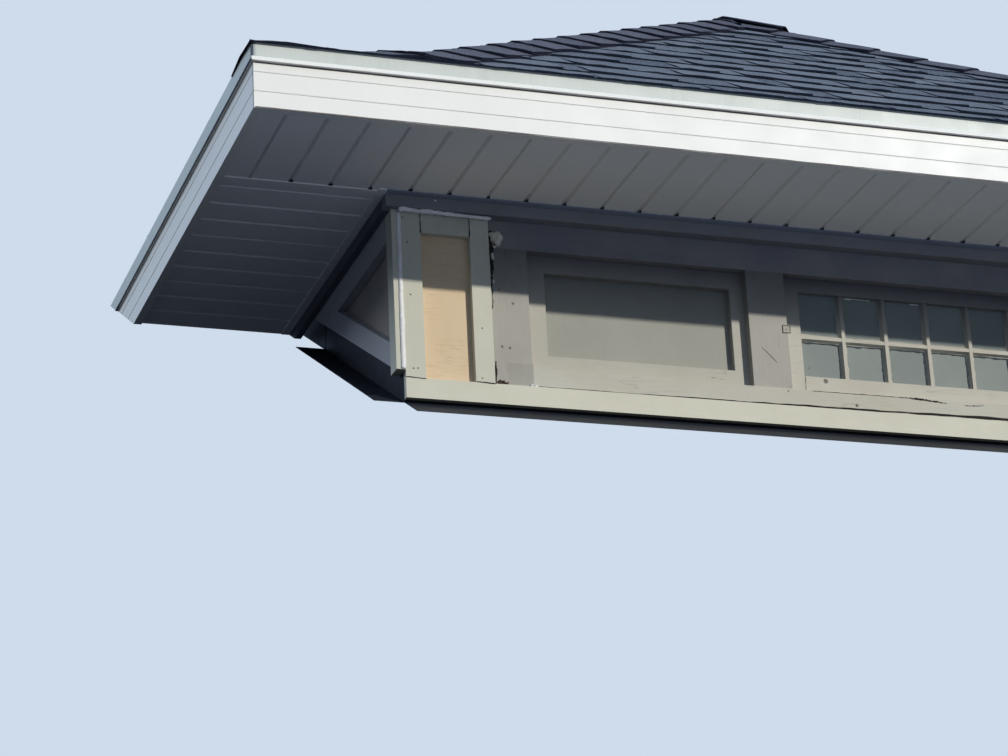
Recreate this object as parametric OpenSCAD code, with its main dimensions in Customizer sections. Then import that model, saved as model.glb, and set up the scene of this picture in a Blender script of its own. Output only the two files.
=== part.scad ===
// Hipped attic dormer with a long divided window, flared eaves and boxed soffits.
// It stands on a sloping roof: every piece ends at that roof's plane, z = house_pitch * y.
// X runs along the front, Y runs back into the roof, Z is up. The origin is the middle
// of the front sole plate's underside. Heights named *_h count up from the point where
// the roof plane meets the face of the front boards.

/* [Roof] */
// Rise over run of the main dormer slopes
roof_pitch = 0.7; // [0.6:0.01:0.8]
// Rise over run of the flatter strip along the eaves
kick_pitch = 0.5; // [0.45:0.01:0.56]
// Width of the flatter strip, in plan
kick_run = 440; // [400:10:470]
// Rise over run of the roof that the dormer stands on
house_pitch = 0.59; // [0.55:0.01:0.64]
// Height of the deck's top above the soffit at the fascia
eave_rise = 157; // [148:1:172]
// Thickness of the shingle layers, measured plumb
shingle_t = 9; // [7:1:16]
// How far the shingles reach past the fascia
shingle_lip = 10; // [10:1:20]
// Thickness of the deck boards, measured plumb
deck_t = 24; // [18:1:28]
// Thickness of the hip and ridge caps
cap_t = 7; // [4:1:12]
// Width of a cap on each side of its hip or ridge
cap_w = 140; // [110:5:170]

/* [Eaves] */
// Overhang of the front fascia past the front boards
front_overhang = 436; // [410:1:470]
// Overhang of the side fascias past the cheeks
side_overhang = 482; // [450:1:515]
// Thickness of the fascias
fascia_t = 22; // [16:1:30]
// How far the fascias hang below the soffits
fascia_drop = 13; // [8:1:20]
// Height of a fascia's upper rib above the soffits
rib_h = 80; // [70:1:90]
// Distance between the two ribs of a fascia
rib_gap = 50; // [40:1:60]
// Depth of a rib
rib_d = 2; // [1:0.5:3]
// Height of the drip edge band
drip_h = 38; // [30:1:44]
// Height of the drip edge's lip
drip_lip_h = 12; // [8:1:14]
// How far the drip band stands off the fascia
drip_out = 4; // [3:1:6]
// How far the drip lip stands off the band
drip_kick = 5; // [3:1:6]
// Distance between soffit grooves
groove_pitch = 101.6; // [90:0.1:115]
// Place of the groove nearest the middle of the front soffit
front_groove_x = 43; // [0:1:50]
// Distance from the front boards' line to the first side groove
side_groove_y = 43; // [30:1:56]
// Depth of a soffit groove
groove_d = 8; // [5:1:9]
// Width of a soffit groove
groove_w = 12; // [8:1:16]
// Thickness of the soffit sheet
sheet_t = 1.5; // [1:0.1:2]
// Width of the channel that holds the soffit at the wall
channel_w = 22; // [18:1:34]

/* [Walls] */
// Width across the corner boards
wall_w = 3400; // [3300:10:3600]
// Height of the soffit above the roof plane, at the front boards
soffit_h = 556; // [540:1:600]
// Thickness of the newer boards on the front
board_t = 19; // [16:1:22]
// Thickness of the boards on the cheeks
cheek_t = 23; // [19:1:26]
// How far the old woodwork stands back from the newer boards
old_set = 14; // [10:1:18]
// Thickness of the plywood behind the boards
ply_t = 12; // [9:1:16]
// Depth of the studs and plates
stud_d = 89; // [80:1:100]
// Thickness of the studs, plates and rafters
stud_t = 38; // [32:1:44]
// Depth of the rafters, measured plumb
rafter_d = 100; // [90:1:110]
// Depth of the hip rafters, measured plumb
hip_d = 120; // [110:1:140]
// Depth of the ridge board
ridge_d = 140; // [120:1:160]
// Width of the valley boards, in plan
valley_w = 200; // [150:5:240]
// Distance between studs or rafters
stud_pitch = 406; // [380:1:430]
// Height of the frieze boards
frieze_h = 35; // [28:1:50]
// Thickness of the frieze boards
frieze_t = 18; // [12:1:25]

/* [Front boards] */
// Width of the corner boards on the front
corner_w = 52; // [45:1:65]
// Width of the corner boards on the cheeks
corner_side_w = 50; // [44:1:58]
// Width of the bare plywood bay beside a corner board
ply_bay_w = 129; // [110:1:150]
// Width of the trim board beside the plywood bay
trim_w = 50; // [44:1:60]
// Crack between the trim board and the old pilaster
crack_w = 4; // [2:1:6]
// Width of the old pilasters
pilaster_w = 100; // [85:1:105]
// Width of the panelled bays
panel_bay_w = 598; // [560:1:620]
// Width of the posts beside the window
post_w = 106; // [90:1:120]
// Height of the apron board's underside
apron_bottom_h = 19; // [12:1:24]
// Height of the apron board's top
apron_top_h = 72; // [65:1:79]
// Height of the sill's top at the front
sill_top_h = 122; // [110:1:132]
// How much the sill falls from back to front
sill_fall = 14; // [10:1:18]
// How far the sill stands proud of the boards
sill_out = 6; // [2:1:10]
// Height of the heads of the window and the panelled bays
head_h = 446; // [436:1:456]
// How far the board over a plywood bay ends above those heads
bay_head_rise = 17; // [10:1:24]
// Height of the beam over the window
header_d = 140; // [120:5:150]

/* [Window and panels] */
// Depth of the sash and panel frames behind the old woodwork's face
frame_set = 26; // [20:1:32]
// Thickness of the sash
sash_t = 36; // [30:1:40]
// Depth of the glass behind the sash's face
glass_set = 15; // [12:1:18]
// Thickness of the panel frames
panel_frame_t = 20; // [16:1:24]
// Width of the sash stiles
sash_stile_w = 49; // [42:1:58]
// Height of the sash's top rail
top_rail_h = 38; // [32:1:44]
// Height of the panel frames' top rails
panel_rail_h = 47; // [40:1:54]
// Height of the sash and panel frame bottom rails
bottom_rail_h = 37; // [30:1:44]
// Width of a panel frame's outer stile
outer_stile_w = 53; // [44:1:62]
// Width of a panel frame's inner stile
inner_stile_w = 38; // [30:1:46]
// Thickness of the glass
glass_t = 4; // [3:1:6]
// Thickness of the bay panels
panel_t = 12; // [9:1:15]

/* [Cheeks and flashing] */
// Plumb height of the cheek rail's lower edge above the roof plane
cheek_gap_h = 87; // [78:1:98]
// Plumb height of the cheek's sloping rail
cheek_rail_h = 64; // [54:1:74]
// How far the cheek's top rail shows below the frieze
cheek_top_h = 70; // [60:1:80]
// Height at which the corner board's cheek side ends
corner_side_h = 92; // [80:1:110]
// Thickness of the flashing metal
flashing_t = 2; // [1:0.5:2.5]
// Width of the flashing flanges on the roof
flashing_w = 80; // [60:1:110]

/* [Hidden] */

far = 6000;
eps = 0.5;
half_wall = wall_w / 2;
E = half_wall + side_overhang;
face_y = -stud_d / 2 - ply_t - board_t;
eave_y = face_y - front_overhang;
old_y = face_y + old_set;
ply_y = face_y + board_t;
frame_y = ply_y + ply_t;
back_y = frame_y + stud_d;
frieze_y = face_y - frieze_t;
cheek_x = half_wall + cheek_t;
ply_x = half_wall - flashing_t;
frame_x = ply_x - ply_t;
inner_x = frame_x - stud_d;
frieze_x = cheek_x + frieze_t;
base_z = house_pitch * face_y;
soffit_z = base_z + soffit_h;
frieze_z = soffit_z - frieze_h;
eave_z = soffit_z + eave_rise;
apex_y = eave_y + E;
plate_v = stud_t * sqrt(1 + house_pitch * house_pitch);
rafter_seat = 22;
hip_gap = stud_t / sqrt(2);
pilaster_x = half_wall - corner_w - ply_bay_w - trim_w - crack_w;
bay_x = pilaster_x - pilaster_w;
post_x = bay_x - panel_bay_w;
window_x = post_x - post_w;
flange_w = 60;
bay_head_h = head_h + bay_head_rise;
sill_back_h = sill_top_h + sill_fall;

// Height of the deck's top at a plan distance t in from the fascia
function roof_z(t) = eave_z
    + (t < kick_run ? kick_pitch * t : kick_pitch * kick_run + roof_pitch * (t - kick_run));
// Height of the underside of the rafters, and of the top plates that carry them
function rafter_bottom(t) = roof_z(t) - deck_t - rafter_d;
front_plate_z = rafter_bottom(frame_y - eave_y) + rafter_seat;
side_plate_z = rafter_bottom(E - frame_x) + rafter_seat;
// Where the roof plane reaches a height
function plane_y(z) = z / house_pitch;

// Makes a piece on both sides of the middle
module both_sides() {
    children();
    mirror([1, 0, 0]) children();
}

// Outline in Y and Z carried along X from x0 to x1
module along_x(x0, x1) {
    translate([x0, 0, 0]) rotate([90, 0, 90]) linear_extrude(x1 - x0) children();
}

// Outline in X and Z carried along Y from y0 to y1
module along_y(y0, y1) {
    translate([0, y1, 0]) rotate([90, 0, 0]) linear_extrude(y1 - y0) children();
}

// Everything under the roof plane, raised by lift
module under_plane(lift = 0) {
    along_x(-far, far)
        polygon([[-far, -far * house_pitch + lift], [far, far * house_pitch + lift],
            [far, -far], [-far, -far]]);
}

// Everything over the roof plane, raised by lift
module over_plane(lift) {
    along_x(-far, far)
        polygon([[-far, -far * house_pitch + lift], [far, far * house_pitch + lift],
            [far, far * 2], [-far, far * 2]]);
}

// Cuts its children off at the roof plane
module on_plane(lift = 0) {
    difference() {
        children();
        under_plane(lift);
    }
}

// A box between two corners
module block(a, b) {
    translate(a) cube(b - a);
}

// Outline of a layer of the roof: from t0 to t1 in from the fascia, and from a to b
// below the deck's top
module layer(t0, t1, a, b) {
    top = [for (t = [t0, kick_run, t1]) [t, roof_z(t) - a]];
    low = [for (t = [t1, kick_run, t0]) [t, roof_z(t) - b]];
    polygon(concat(top, low));
}

// Plan of the front slope, and of the left slope, kept back from the hips by gap
module front_plan(gap = 0, out = 0) {
    g = gap * sqrt(2);
    polygon([[-E - out + g, eave_y - out], [0, apex_y - g], [E + out - g, eave_y - out]]);
}
module left_plan(gap = 0, out = 0, ridge = 0) {
    g = gap * sqrt(2);
    polygon([[-E - out, eave_y - out + g], [-ridge, apex_y - ridge + g], [-ridge, far],
        [-E - out, far]]);
}

// A roof layer on the front slope, and on the left one
module front_layer(t0, t1, a, b, gap = 0, out = 0) {
    intersection() {
        along_x(-E - out, E + out) translate([eave_y, 0]) layer(t0, t1, a, b);
        translate([0, 0, -far]) linear_extrude(2 * far) front_plan(gap, out);
    }
}
module left_layer(t0, t1, a, b, gap = 0, out = 0, ridge = 0) {
    intersection() {
        along_y(eave_y - out, far) translate([-E, 0]) layer(t0, t1, a, b);
        translate([0, 0, -far]) linear_extrude(2 * far) left_plan(gap, out, ridge);
    }
}

// Framing

module front_sole_plate() {
    color("burlywood") difference() {
        block([-ply_x, ply_y, -far], [ply_x, back_y, far]);
        under_plane();
        over_plane(plate_v);
    }
}

module side_sole_plates() {
    color("burlywood") both_sides() difference() {
        block([-ply_x, back_y, -far], [-inner_x, plane_y(side_plate_z), side_plate_z]);
        under_plane();
        over_plane(plate_v);
    }
}

module front_stud(x, top) {
    on_plane(plate_v) block([x, frame_y, base_z], [x + stud_t, back_y, top]);
}

module front_studs() {
    king_x = bay_x + stud_t;
    head_z = base_z + head_h;
    plate_z = front_plate_z - stud_t;
    color("burlywood") both_sides() {
        front_stud(-frame_x, plate_z);
        front_stud(-(frame_x + king_x + stud_t) / 2, plate_z);
        front_stud(-king_x - stud_t, plate_z);
        front_stud(-bay_x - stud_t, head_z);
        for (x = [stud_pitch / 2 : stud_pitch : bay_x - stud_t])
            block([-x - stud_t / 2, frame_y, head_z + header_d],
                [-x + stud_t / 2, back_y, plate_z]);
    }
}

module side_studs() {
    plate_z = side_plate_z - stud_t;
    last = plane_y(plate_z - plate_v) - stud_pitch / 3;
    color("burlywood") both_sides()
        for (y = [back_y + stud_pitch - stud_t : stud_pitch : last])
            on_plane(plate_v)
                block([-frame_x, y, base_z], [-inner_x, y + stud_t, plate_z]);
}

module front_top_plate() {
    color("burlywood")
        block([-frame_x, frame_y, front_plate_z - stud_t], [frame_x, back_y, front_plate_z]);
}

module side_top_plates() {
    color("burlywood") both_sides() on_plane(plate_v)
        block([-frame_x, back_y, side_plate_z - stud_t], [-inner_x, far, side_plate_z]);
}

module window_header() {
    color("burlywood")
        block([-bay_x - stud_t, frame_y, base_z + head_h],
            [bay_x + stud_t, back_y, base_z + head_h + header_d]);
}

// The last joist lies where the side plates run out on the roof plane
module ceiling_joists() {
    last = plane_y(side_plate_z) - stud_t;
    color("burlywood")
        for (y = [last : -stud_pitch : back_y + stud_pitch / 2])
            block([-frame_x + stud_t, y, side_plate_z],
                [frame_x - stud_t, y + stud_t, side_plate_z + stud_d]);
}

module ridge_board() {
    top = roof_z(E - stud_t / 2) - deck_t;
    color("burlywood") on_plane()
        block([-stud_t / 2, apex_y, top - ridge_d], [stud_t / 2, far, top]);
}

module hip_rafters() {
    drop = hip_gap / 2 * roof_pitch;
    color("burlywood") both_sides() difference() {
        intersection() {
            translate([-E, eave_y, 0]) rotate([0, 0, 45]) translate([0, stud_t / 2, 0])
                rotate([90, 0, 0]) linear_extrude(stud_t)
                    polygon([for (p = hip_outline(drop)) [p[0] * sqrt(2), p[1]]]);
            block([-E, eave_y, 0], [-stud_t / 2 - eps, apex_y + stud_t, far]);
        }
        front_top_plate();
        side_top_plates();
    }
}

function hip_outline(drop) = let (t0 = fascia_t + hip_gap, t1 = E - hip_gap,
    a = deck_t + drop, b = a + hip_d)
    concat([for (t = [t0, kick_run, t1]) [t, roof_z(t) - a]],
        [for (t = [t1, kick_run, t0]) [t, roof_z(t) - b]]);

// The outer rafters stand over the corner studs, and the others share the width evenly
module front_rafters() {
    span = 2 * frame_x - stud_t;
    bays = round(span / stud_pitch);
    color("burlywood") difference() {
        for (i = [0 : bays])
            intersection() {
                x = -frame_x + i * span / bays;
                front_layer(fascia_t, E, deck_t, deck_t + rafter_d, stud_t / 2);
                block([x, eave_y, 0], [x + stud_t, apex_y, far]);
            }
        front_top_plate();
        side_top_plates();
    }
}

module side_rafters() {
    first = eave_y + stud_pitch;
    last = plane_y(roof_z(E) - deck_t) - stud_pitch / 2;
    color("burlywood") both_sides() difference() {
        for (y = [first : stud_pitch : last])
            intersection() {
                left_layer(fascia_t, E, deck_t, deck_t + rafter_d, stud_t / 2, 0, stud_t / 2);
                block([-E, y, 0], [0, y + stud_t, far]);
            }
        front_top_plate();
        side_top_plates();
        under_plane(plate_v / 2);
    }
}

// Boards that lie on the roof plane under the feet of the side rafters
module valley_boards() {
    lift = plate_v / 2;
    t0 = E - inner_x;
    edge = [for (t = [t0, E - stud_t / 2]) [-E + t, plane_y(roof_z(t) - deck_t - lift)]];
    color("burlywood") both_sides() difference() {
        intersection() {
            translate([0, 0, -far]) linear_extrude(2 * far)
                polygon(concat(edge, [for (i = [1, 0]) edge[i] - [0, valley_w]]));
            along_x(-far, 0) polygon([[-far, -far * house_pitch], [far, far * house_pitch],
                [far, far * house_pitch + lift], [-far, -far * house_pitch + lift]]);
        }
        ridge_board();
        side_sole_plates();
        side_top_plates();
    }
}

// Roof covering

module front_roof_deck() {
    color("tan") front_layer(0, E, 0, deck_t);
}
module left_roof_deck() {
    color("tan") on_plane() left_layer(0, E, 0, deck_t);
}
module right_roof_deck() {
    mirror([1, 0, 0]) left_roof_deck();
}

module front_shingles() {
    color("darkslategray") difference() {
        front_layer(-shingle_lip, E, -shingle_t, 0, 0, shingle_lip);
        drip_edges();
    }
}
module left_shingles() {
    color("darkslategray") difference() {
        on_plane() left_layer(-shingle_lip, E, -shingle_t, 0, 0, shingle_lip);
        drip_edges();
    }
}
module right_shingles() {
    mirror([1, 0, 0]) left_shingles();
}

module hip_caps() {
    w = cap_w * sqrt(2);
    a = -shingle_t - cap_t;
    color("dimgray") both_sides() intersection() {
        union() {
            front_layer(-shingle_lip, E, a, -shingle_t, 0, shingle_lip);
            left_layer(-shingle_lip, E, a, -shingle_t, 0, shingle_lip);
        }
        linear_extrude(far) polygon([[-E - shingle_lip, eave_y - shingle_lip],
            [-E - shingle_lip + w, eave_y - shingle_lip], [-eps, apex_y - w],
            [-eps, apex_y], [-w / 2, apex_y], [-E - shingle_lip, eave_y - shingle_lip + w]]);
    }
}

module ridge_cap() {
    xs = [-cap_w, 0, cap_w];
    low = [for (x = xs) [x, roof_z(E - abs(x)) + shingle_t]];
    color("dimgray") on_plane() along_y(apex_y, far)
        polygon(concat(low, [for (i = [2, 1, 0]) low[i] + [0, cap_t]]));
}

// Eaves

// Outline of a fascia: t counts in from its face, z up from the soffit
module fascia_outline() {
    rib1 = rib_h;
    rib2 = rib1 - rib_gap;
    polygon([[0, -fascia_drop], [fascia_t, -fascia_drop],
        [fascia_t, eave_rise - deck_t + kick_pitch * fascia_t], [0, eave_rise - deck_t],
        [0, rib1 + rib_d], [rib_d, rib1], [0, rib1 - rib_d],
        [0, rib2 + rib_d], [rib_d, rib2], [0, rib2 - rib_d]]);
}

// Outline of the drip edge: a band with a lip that kicks out, and a flange on the deck
module drip_outline() {
    top = eave_rise;
    band = top - drip_h;
    low = band - drip_lip_h;
    polygon([[flange_w, top + kick_pitch * flange_w + sheet_t], [-drip_out, top + sheet_t],
        [-drip_out, band], [-drip_out - drip_kick, low + sheet_t],
        [-drip_out - drip_kick, low], [0, low], [0, top],
        [flange_w, top + kick_pitch * flange_w]]);
}

module front_eave(gap = 0) {
    intersection() {
        along_x(-E - shingle_lip, E + shingle_lip) translate([eave_y, soffit_z]) children();
        translate([0, 0, -far]) linear_extrude(2 * far) front_plan(gap, shingle_lip);
    }
}
module left_eave(gap = 0) {
    on_plane() intersection() {
        along_y(eave_y - shingle_lip, far) translate([-E, soffit_z]) children();
        translate([0, 0, -far]) linear_extrude(2 * far) left_plan(gap, shingle_lip);
    }
}

module front_fascia() {
    color("linen") front_eave() fascia_outline();
}
module left_fascia() {
    color("linen") left_eave() fascia_outline();
}
module right_fascia() {
    mirror([1, 0, 0]) left_fascia();
}

module drip_edges() {
    color("honeydew") {
        front_eave(eps) drip_outline();
        both_sides() left_eave(eps) drip_outline();
    }
}

// Outline of a grooved soffit sheet of length l: V grooves at every pitch, and a
// narrower lock joint at every third
module soffit_outline(l, start) {
    first = ceil((-start) / groove_pitch);
    last = floor((l - start - groove_w) / groove_pitch);
    xs = [for (i = [first : last]) if (start + i * groove_pitch > groove_w)
        [start + i * groove_pitch, i % 3 == 0 ? groove_w / 3 : groove_w / 2]];
    low = [for (x = xs) each [[x[0] - x[1], 0], [x[0], groove_d], [x[0] + x[1], 0]]];
    top = [for (i = [len(xs) - 1 : -1 : 0]) let (x = xs[i]) each
        [[x[0] + x[1] + sheet_t / 2, sheet_t], [x[0], groove_d + sheet_t * 1.5],
            [x[0] - x[1] - sheet_t / 2, sheet_t]]];
    polygon(concat([[0, 0]], low, [[l, 0], [l, sheet_t]], top, [[0, sheet_t]]));
}

module front_soffit() {
    l = 2 * (E - fascia_t);
    color("gainsboro") translate([-l / 2, 0, soffit_z])
        along_y(eave_y + fascia_t, frieze_y - 2 * sheet_t)
            soffit_outline(l, l / 2 + front_groove_x);
}

module side_soffits() {
    y0 = frieze_y + 2 * sheet_t;
    l = plane_y(soffit_z) - y0 + groove_pitch;
    color("gainsboro") both_sides() on_plane()
        translate([0, y0, soffit_z]) along_x(-E + fascia_t, -frieze_x - 2 * sheet_t)
            soffit_outline(l, side_groove_y);
}

// A strip of the channel that wraps the frieze boards: it reaches w out from them
module wrap(w, z0, z1) {
    difference() {
        block([-frieze_x - w, frieze_y - w, z0], [frieze_x + w, far, z1]);
        block([-frieze_x, frieze_y, z0 - 1], [frieze_x, 2 * far, z1 + 1]);
    }
}

module soffit_channels() {
    low = soffit_z - 2 * sheet_t;
    color("whitesmoke") on_plane() {
        wrap(channel_w, low, soffit_z);
        wrap(2 * sheet_t, low, soffit_z + groove_d + 3 * sheet_t);
        both_sides() block([-E + fascia_t, frieze_y - channel_w / 2, low],
            [-frieze_x - channel_w / 2, frieze_y + channel_w / 2, soffit_z]);
    }
}

// Boards and trim

module front_frieze() {
    color("slategray") block([-frieze_x, frieze_y, frieze_z], [frieze_x, old_y, soffit_z]);
}
module side_friezes() {
    color("slategray") both_sides() on_plane()
        block([-frieze_x, old_y, frieze_z], [-cheek_x, far, soffit_z]);
}

// The old board over the window, and a newer one over each plywood bay
module head_boards() {
    color("lightgray") {
        block([-pilaster_x, old_y, base_z + head_h], [pilaster_x, frame_y, soffit_z]);
        both_sides() block([-half_wall + corner_w, face_y, base_z + bay_head_h],
            [-half_wall + corner_w + ply_bay_w, ply_y, frieze_z]);
    }
}

// A corner board is two boards: one on the front and one on the cheek
module corner_boards() {
    color("ivory") both_sides() {
        block([-half_wall, face_y, base_z + apron_top_h],
            [-half_wall + corner_w, ply_y, frieze_z]);
        block([-cheek_x, face_y, base_z + corner_side_h],
            [-half_wall, face_y + corner_side_w, frieze_z]);
    }
}

module trim_boards() {
    x = half_wall - corner_w - ply_bay_w;
    color("ivory") both_sides()
        block([-x, face_y, base_z + apron_top_h], [-x + trim_w, ply_y, frieze_z]);
}

module pilasters() {
    color("tan") both_sides()
        block([-pilaster_x, old_y, base_z + apron_top_h], [-bay_x, frame_y, base_z + head_h]);
}

module posts() {
    color("tan") both_sides() difference() {
        block([-post_x, old_y, base_z], [-window_x, back_y, base_z + head_h]);
        under_sill();
    }
}

// All that lies under the sill's top, which falls to the front
module under_sill(x1 = far, y1 = far) {
    y0 = old_y - sill_out;
    slope = sill_fall / (back_y - y0);
    top = base_z + sill_top_h;
    along_x(-x1, x1) polygon([[y0, -far], [y0, top], [y1, top + slope * (y1 - y0)], [y1, -far]]);
}

module window_sill() {
    color("tan") difference() {
        under_sill(bay_x, back_y);
        under_plane(plate_v);
        block([-far, -far, -far], [far, far, base_z + apron_top_h]);
    }
}

// Plywood: it shows in the bays beside the corner boards, and closes the wall above
module front_sheathing() {
    color("peru") difference() {
        block([-frame_x, ply_y, base_z - 1], [frame_x, frame_y, front_plate_z]);
        block([-pilaster_x, ply_y - 1, base_z - 2], [pilaster_x, frame_y + 1, soffit_z]);
        under_plane(plate_v);
    }
}

// A frame between x0 and x1 in the front openings, t thick, with its own rail and stiles
module opening_frame(x0, x1, t, rail, stile0, stile1) {
    y = old_y + frame_set;
    head_z = base_z + head_h;
    difference() {
        block([x0, y, base_z], [x1, y + t, head_z]);
        block([x0 + stile0, y - 1, base_z + sill_back_h + bottom_rail_h],
            [x1 - stile1, y + t + 1, head_z - rail]);
        under_sill();
    }
}

module panel_frames() {
    color("tan") both_sides() opening_frame(-bay_x, -post_x, panel_frame_t, panel_rail_h,
        outer_stile_w, inner_stile_w);
}

module bay_panels() {
    y = old_y + frame_set + panel_frame_t;
    color("lightgray") both_sides() difference() {
        block([-bay_x, y, base_z], [-post_x, y + panel_t, base_z + head_h]);
        under_sill();
    }
}

module window_sash() {
    color("tan")
        opening_frame(-window_x, window_x, sash_t, top_rail_h, sash_stile_w, sash_stile_w);
}

module window_glass() {
    y = old_y + frame_set + glass_set;
    x = window_x - sash_stile_w;
    color("slategray", 0.6) block([-x, y, base_z + sill_back_h + bottom_rail_h],
        [x, y + glass_t, base_z + head_h - top_rail_h]);
}

module apron_board() {
    color("ivory") on_plane(flashing_t) block([-half_wall, face_y, base_z + apron_bottom_h],
        [half_wall, ply_y - flashing_t, base_z + apron_top_h]);
}

// Flashing

module apron_flashing() {
    color("black") {
        on_plane() block([-half_wall, ply_y - flashing_t, base_z], [half_wall, ply_y,
            base_z + apron_top_h]);
        along_x(-half_wall, half_wall) {
            y0 = face_y - flashing_w;
            polygon([[y0, y0 * house_pitch], [ply_y, ply_y * house_pitch],
                [ply_y, ply_y * house_pitch + flashing_t],
                [y0, y0 * house_pitch + flashing_t]]);
        }
    }
}

module step_flashing() {
    up = cheek_gap_h + cheek_rail_h / 2;
    y1 = plane_y(frieze_z - cheek_gap_h);
    color("black") both_sides() difference() {
        union() {
            block([-half_wall, ply_y, base_z], [-ply_x, y1, far]);
            block([-ply_x - flashing_w, ply_y, base_z], [-ply_x, y1, far]);
        }
        under_plane();
        difference() {
            over_plane(flashing_t);
            block([-half_wall, ply_y - 1, -far], [far, far, 2 * far]);
        }
        over_plane(up);
    }
}

// Cheeks

// Outline of the cheek's rails: one along the roof plane, one under the frieze
module side_rail_outline() {
    y0 = face_y + corner_side_w;
    top = soffit_z;
    low = frieze_z - cheek_top_h;
    gap = cheek_gap_h;
    inner = gap + cheek_rail_h;
    polygon([[y0, y0 * house_pitch + gap], [plane_y(top - gap), top], [y0, top],
        [y0, low], [plane_y(low - inner), low], [y0, y0 * house_pitch + inner]]);
}

module side_rails() {
    color("slategray") both_sides()
        along_x(-cheek_x, -half_wall) side_rail_outline();
}

module side_sheathing() {
    color("peru") both_sides() on_plane(plate_v)
        block([-ply_x, ply_y, base_z], [-frame_x, plane_y(side_plate_z), side_plate_z]);
}

front_sole_plate();
side_sole_plates();
front_studs();
side_studs();
front_top_plate();
side_top_plates();
window_header();
ceiling_joists();
ridge_board();
hip_rafters();
front_rafters();
side_rafters();
valley_boards();
front_roof_deck();
left_roof_deck();
right_roof_deck();
front_shingles();
left_shingles();
right_shingles();
hip_caps();
ridge_cap();
front_soffit();
side_soffits();
soffit_channels();
front_fascia();
left_fascia();
right_fascia();
drip_edges();
front_frieze();
side_friezes();
head_boards();
corner_boards();
trim_boards();
pilasters();
posts();
front_sheathing();
window_sill();
panel_frames();
bay_panels();
window_sash();
window_glass();
apron_board();
apron_flashing();
side_rails();
side_sheathing();
step_flashing();
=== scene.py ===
import math
import bmesh
import bpy
import numpy as np
from mathutils import Matrix, Vector


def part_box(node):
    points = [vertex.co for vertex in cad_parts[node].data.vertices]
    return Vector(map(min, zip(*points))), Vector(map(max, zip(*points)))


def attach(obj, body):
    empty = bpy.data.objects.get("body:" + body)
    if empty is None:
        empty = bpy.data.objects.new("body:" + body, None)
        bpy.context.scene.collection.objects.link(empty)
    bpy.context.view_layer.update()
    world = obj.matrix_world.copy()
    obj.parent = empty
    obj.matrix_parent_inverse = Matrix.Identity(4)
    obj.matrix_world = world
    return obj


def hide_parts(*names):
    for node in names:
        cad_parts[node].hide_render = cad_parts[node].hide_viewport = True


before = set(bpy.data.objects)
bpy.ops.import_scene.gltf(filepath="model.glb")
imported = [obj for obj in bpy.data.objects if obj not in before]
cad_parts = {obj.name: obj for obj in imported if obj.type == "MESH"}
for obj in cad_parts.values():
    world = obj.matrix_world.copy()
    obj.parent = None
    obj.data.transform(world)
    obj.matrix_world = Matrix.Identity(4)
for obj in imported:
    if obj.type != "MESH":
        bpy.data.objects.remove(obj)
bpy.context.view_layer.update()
print("frame loaded")

# Places that the pieces below are worked out from, in metres
deckLow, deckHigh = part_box("front_roof_deck")
apronLow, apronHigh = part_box("apron_board")
friezeLow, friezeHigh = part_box("front_frieze")
glassLow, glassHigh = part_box("window_glass")
eaveY = deckLow.y
halfSpan = deckHigh.x
halfWall = apronHigh.x
faceY = apronLow.y
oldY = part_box("posts")[0].y
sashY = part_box("window_sash")[0].y
soffitZ = friezeHigh.z

roof = dict(
    pitch=0.7,           # rise over run of the main slopes
    kickPitch=0.5,       # and of the flatter strip along the eaves
    kickRun=0.44,        # width of that strip in plan
    housePitch=0.59,     # slope of the plane that the dormer stands on
    lip=0.01,            # how far the shingles reach past the fascia
    fold=0.012,          # how softly the caps bend over hips and ridge
)
eaveZ = (deckHigh.z - roof["kickPitch"] * roof["kickRun"]
         - roof["pitch"] * (halfSpan - roof["kickRun"]))


# Height of the deck at a plan distance in from the eave: two straight slopes
def roofHeight(inward):
    kick, run = roof["kickPitch"], roof["kickRun"]
    steep = kick * run + roof["pitch"] * (inward - run)
    return eaveZ + np.where(inward < run, kick * inward, steep)


# The lesser of two numbers, rounded where they are alike
def softMin(first, second, width):
    return 0.5 * (first + second - np.sqrt((first - second) ** 2 + width ** 2))


# Height of the deck at a plan point: the profile at the least distance from an eave
def deckHeight(x, y):
    side = halfSpan - np.sqrt(x ** 2 + roof["fold"] ** 2)
    return roofHeight(softMin(side, y - eaveY, roof["fold"]))


# Meshes

def addObject(name, data):
    made = bpy.data.objects.new(name, data)
    bpy.context.scene.collection.objects.link(made)
    return made


# Makes a piece from lots of points and faces: it rides on the body and takes its finish as
# material
def makePiece(name, lots, finish, tone=None, smooth=False):
    points, faces = joined(lots)
    mesh = bpy.data.meshes.new(name)
    mesh.from_pydata(points.tolist(), [], faces)
    if tone is not None:
        layer = mesh.attributes.new("tone", "FLOAT", "POINT")
        layer.data.foreach_set("value", np.asarray(tone, np.float32).ravel())
    work = bmesh.new()
    work.from_mesh(mesh)
    bmesh.ops.recalc_face_normals(work, faces=work.faces)
    work.to_mesh(mesh)
    work.free()
    mesh.polygons.foreach_set("use_smooth", np.full(len(mesh.polygons), smooth))
    mesh.materials.append(finishes[finish])
    piece = addObject(name, mesh)
    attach(piece, "root")
    return piece


# Parameters of a grid on each slab: u runs across it up to 1, and v from 0 to 1 along it
def grid(across, along, start=0.0):
    u = np.linspace(start, 1, across)[None, :, None]
    return u, np.linspace(0, 1, along)[None, None, :]


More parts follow.
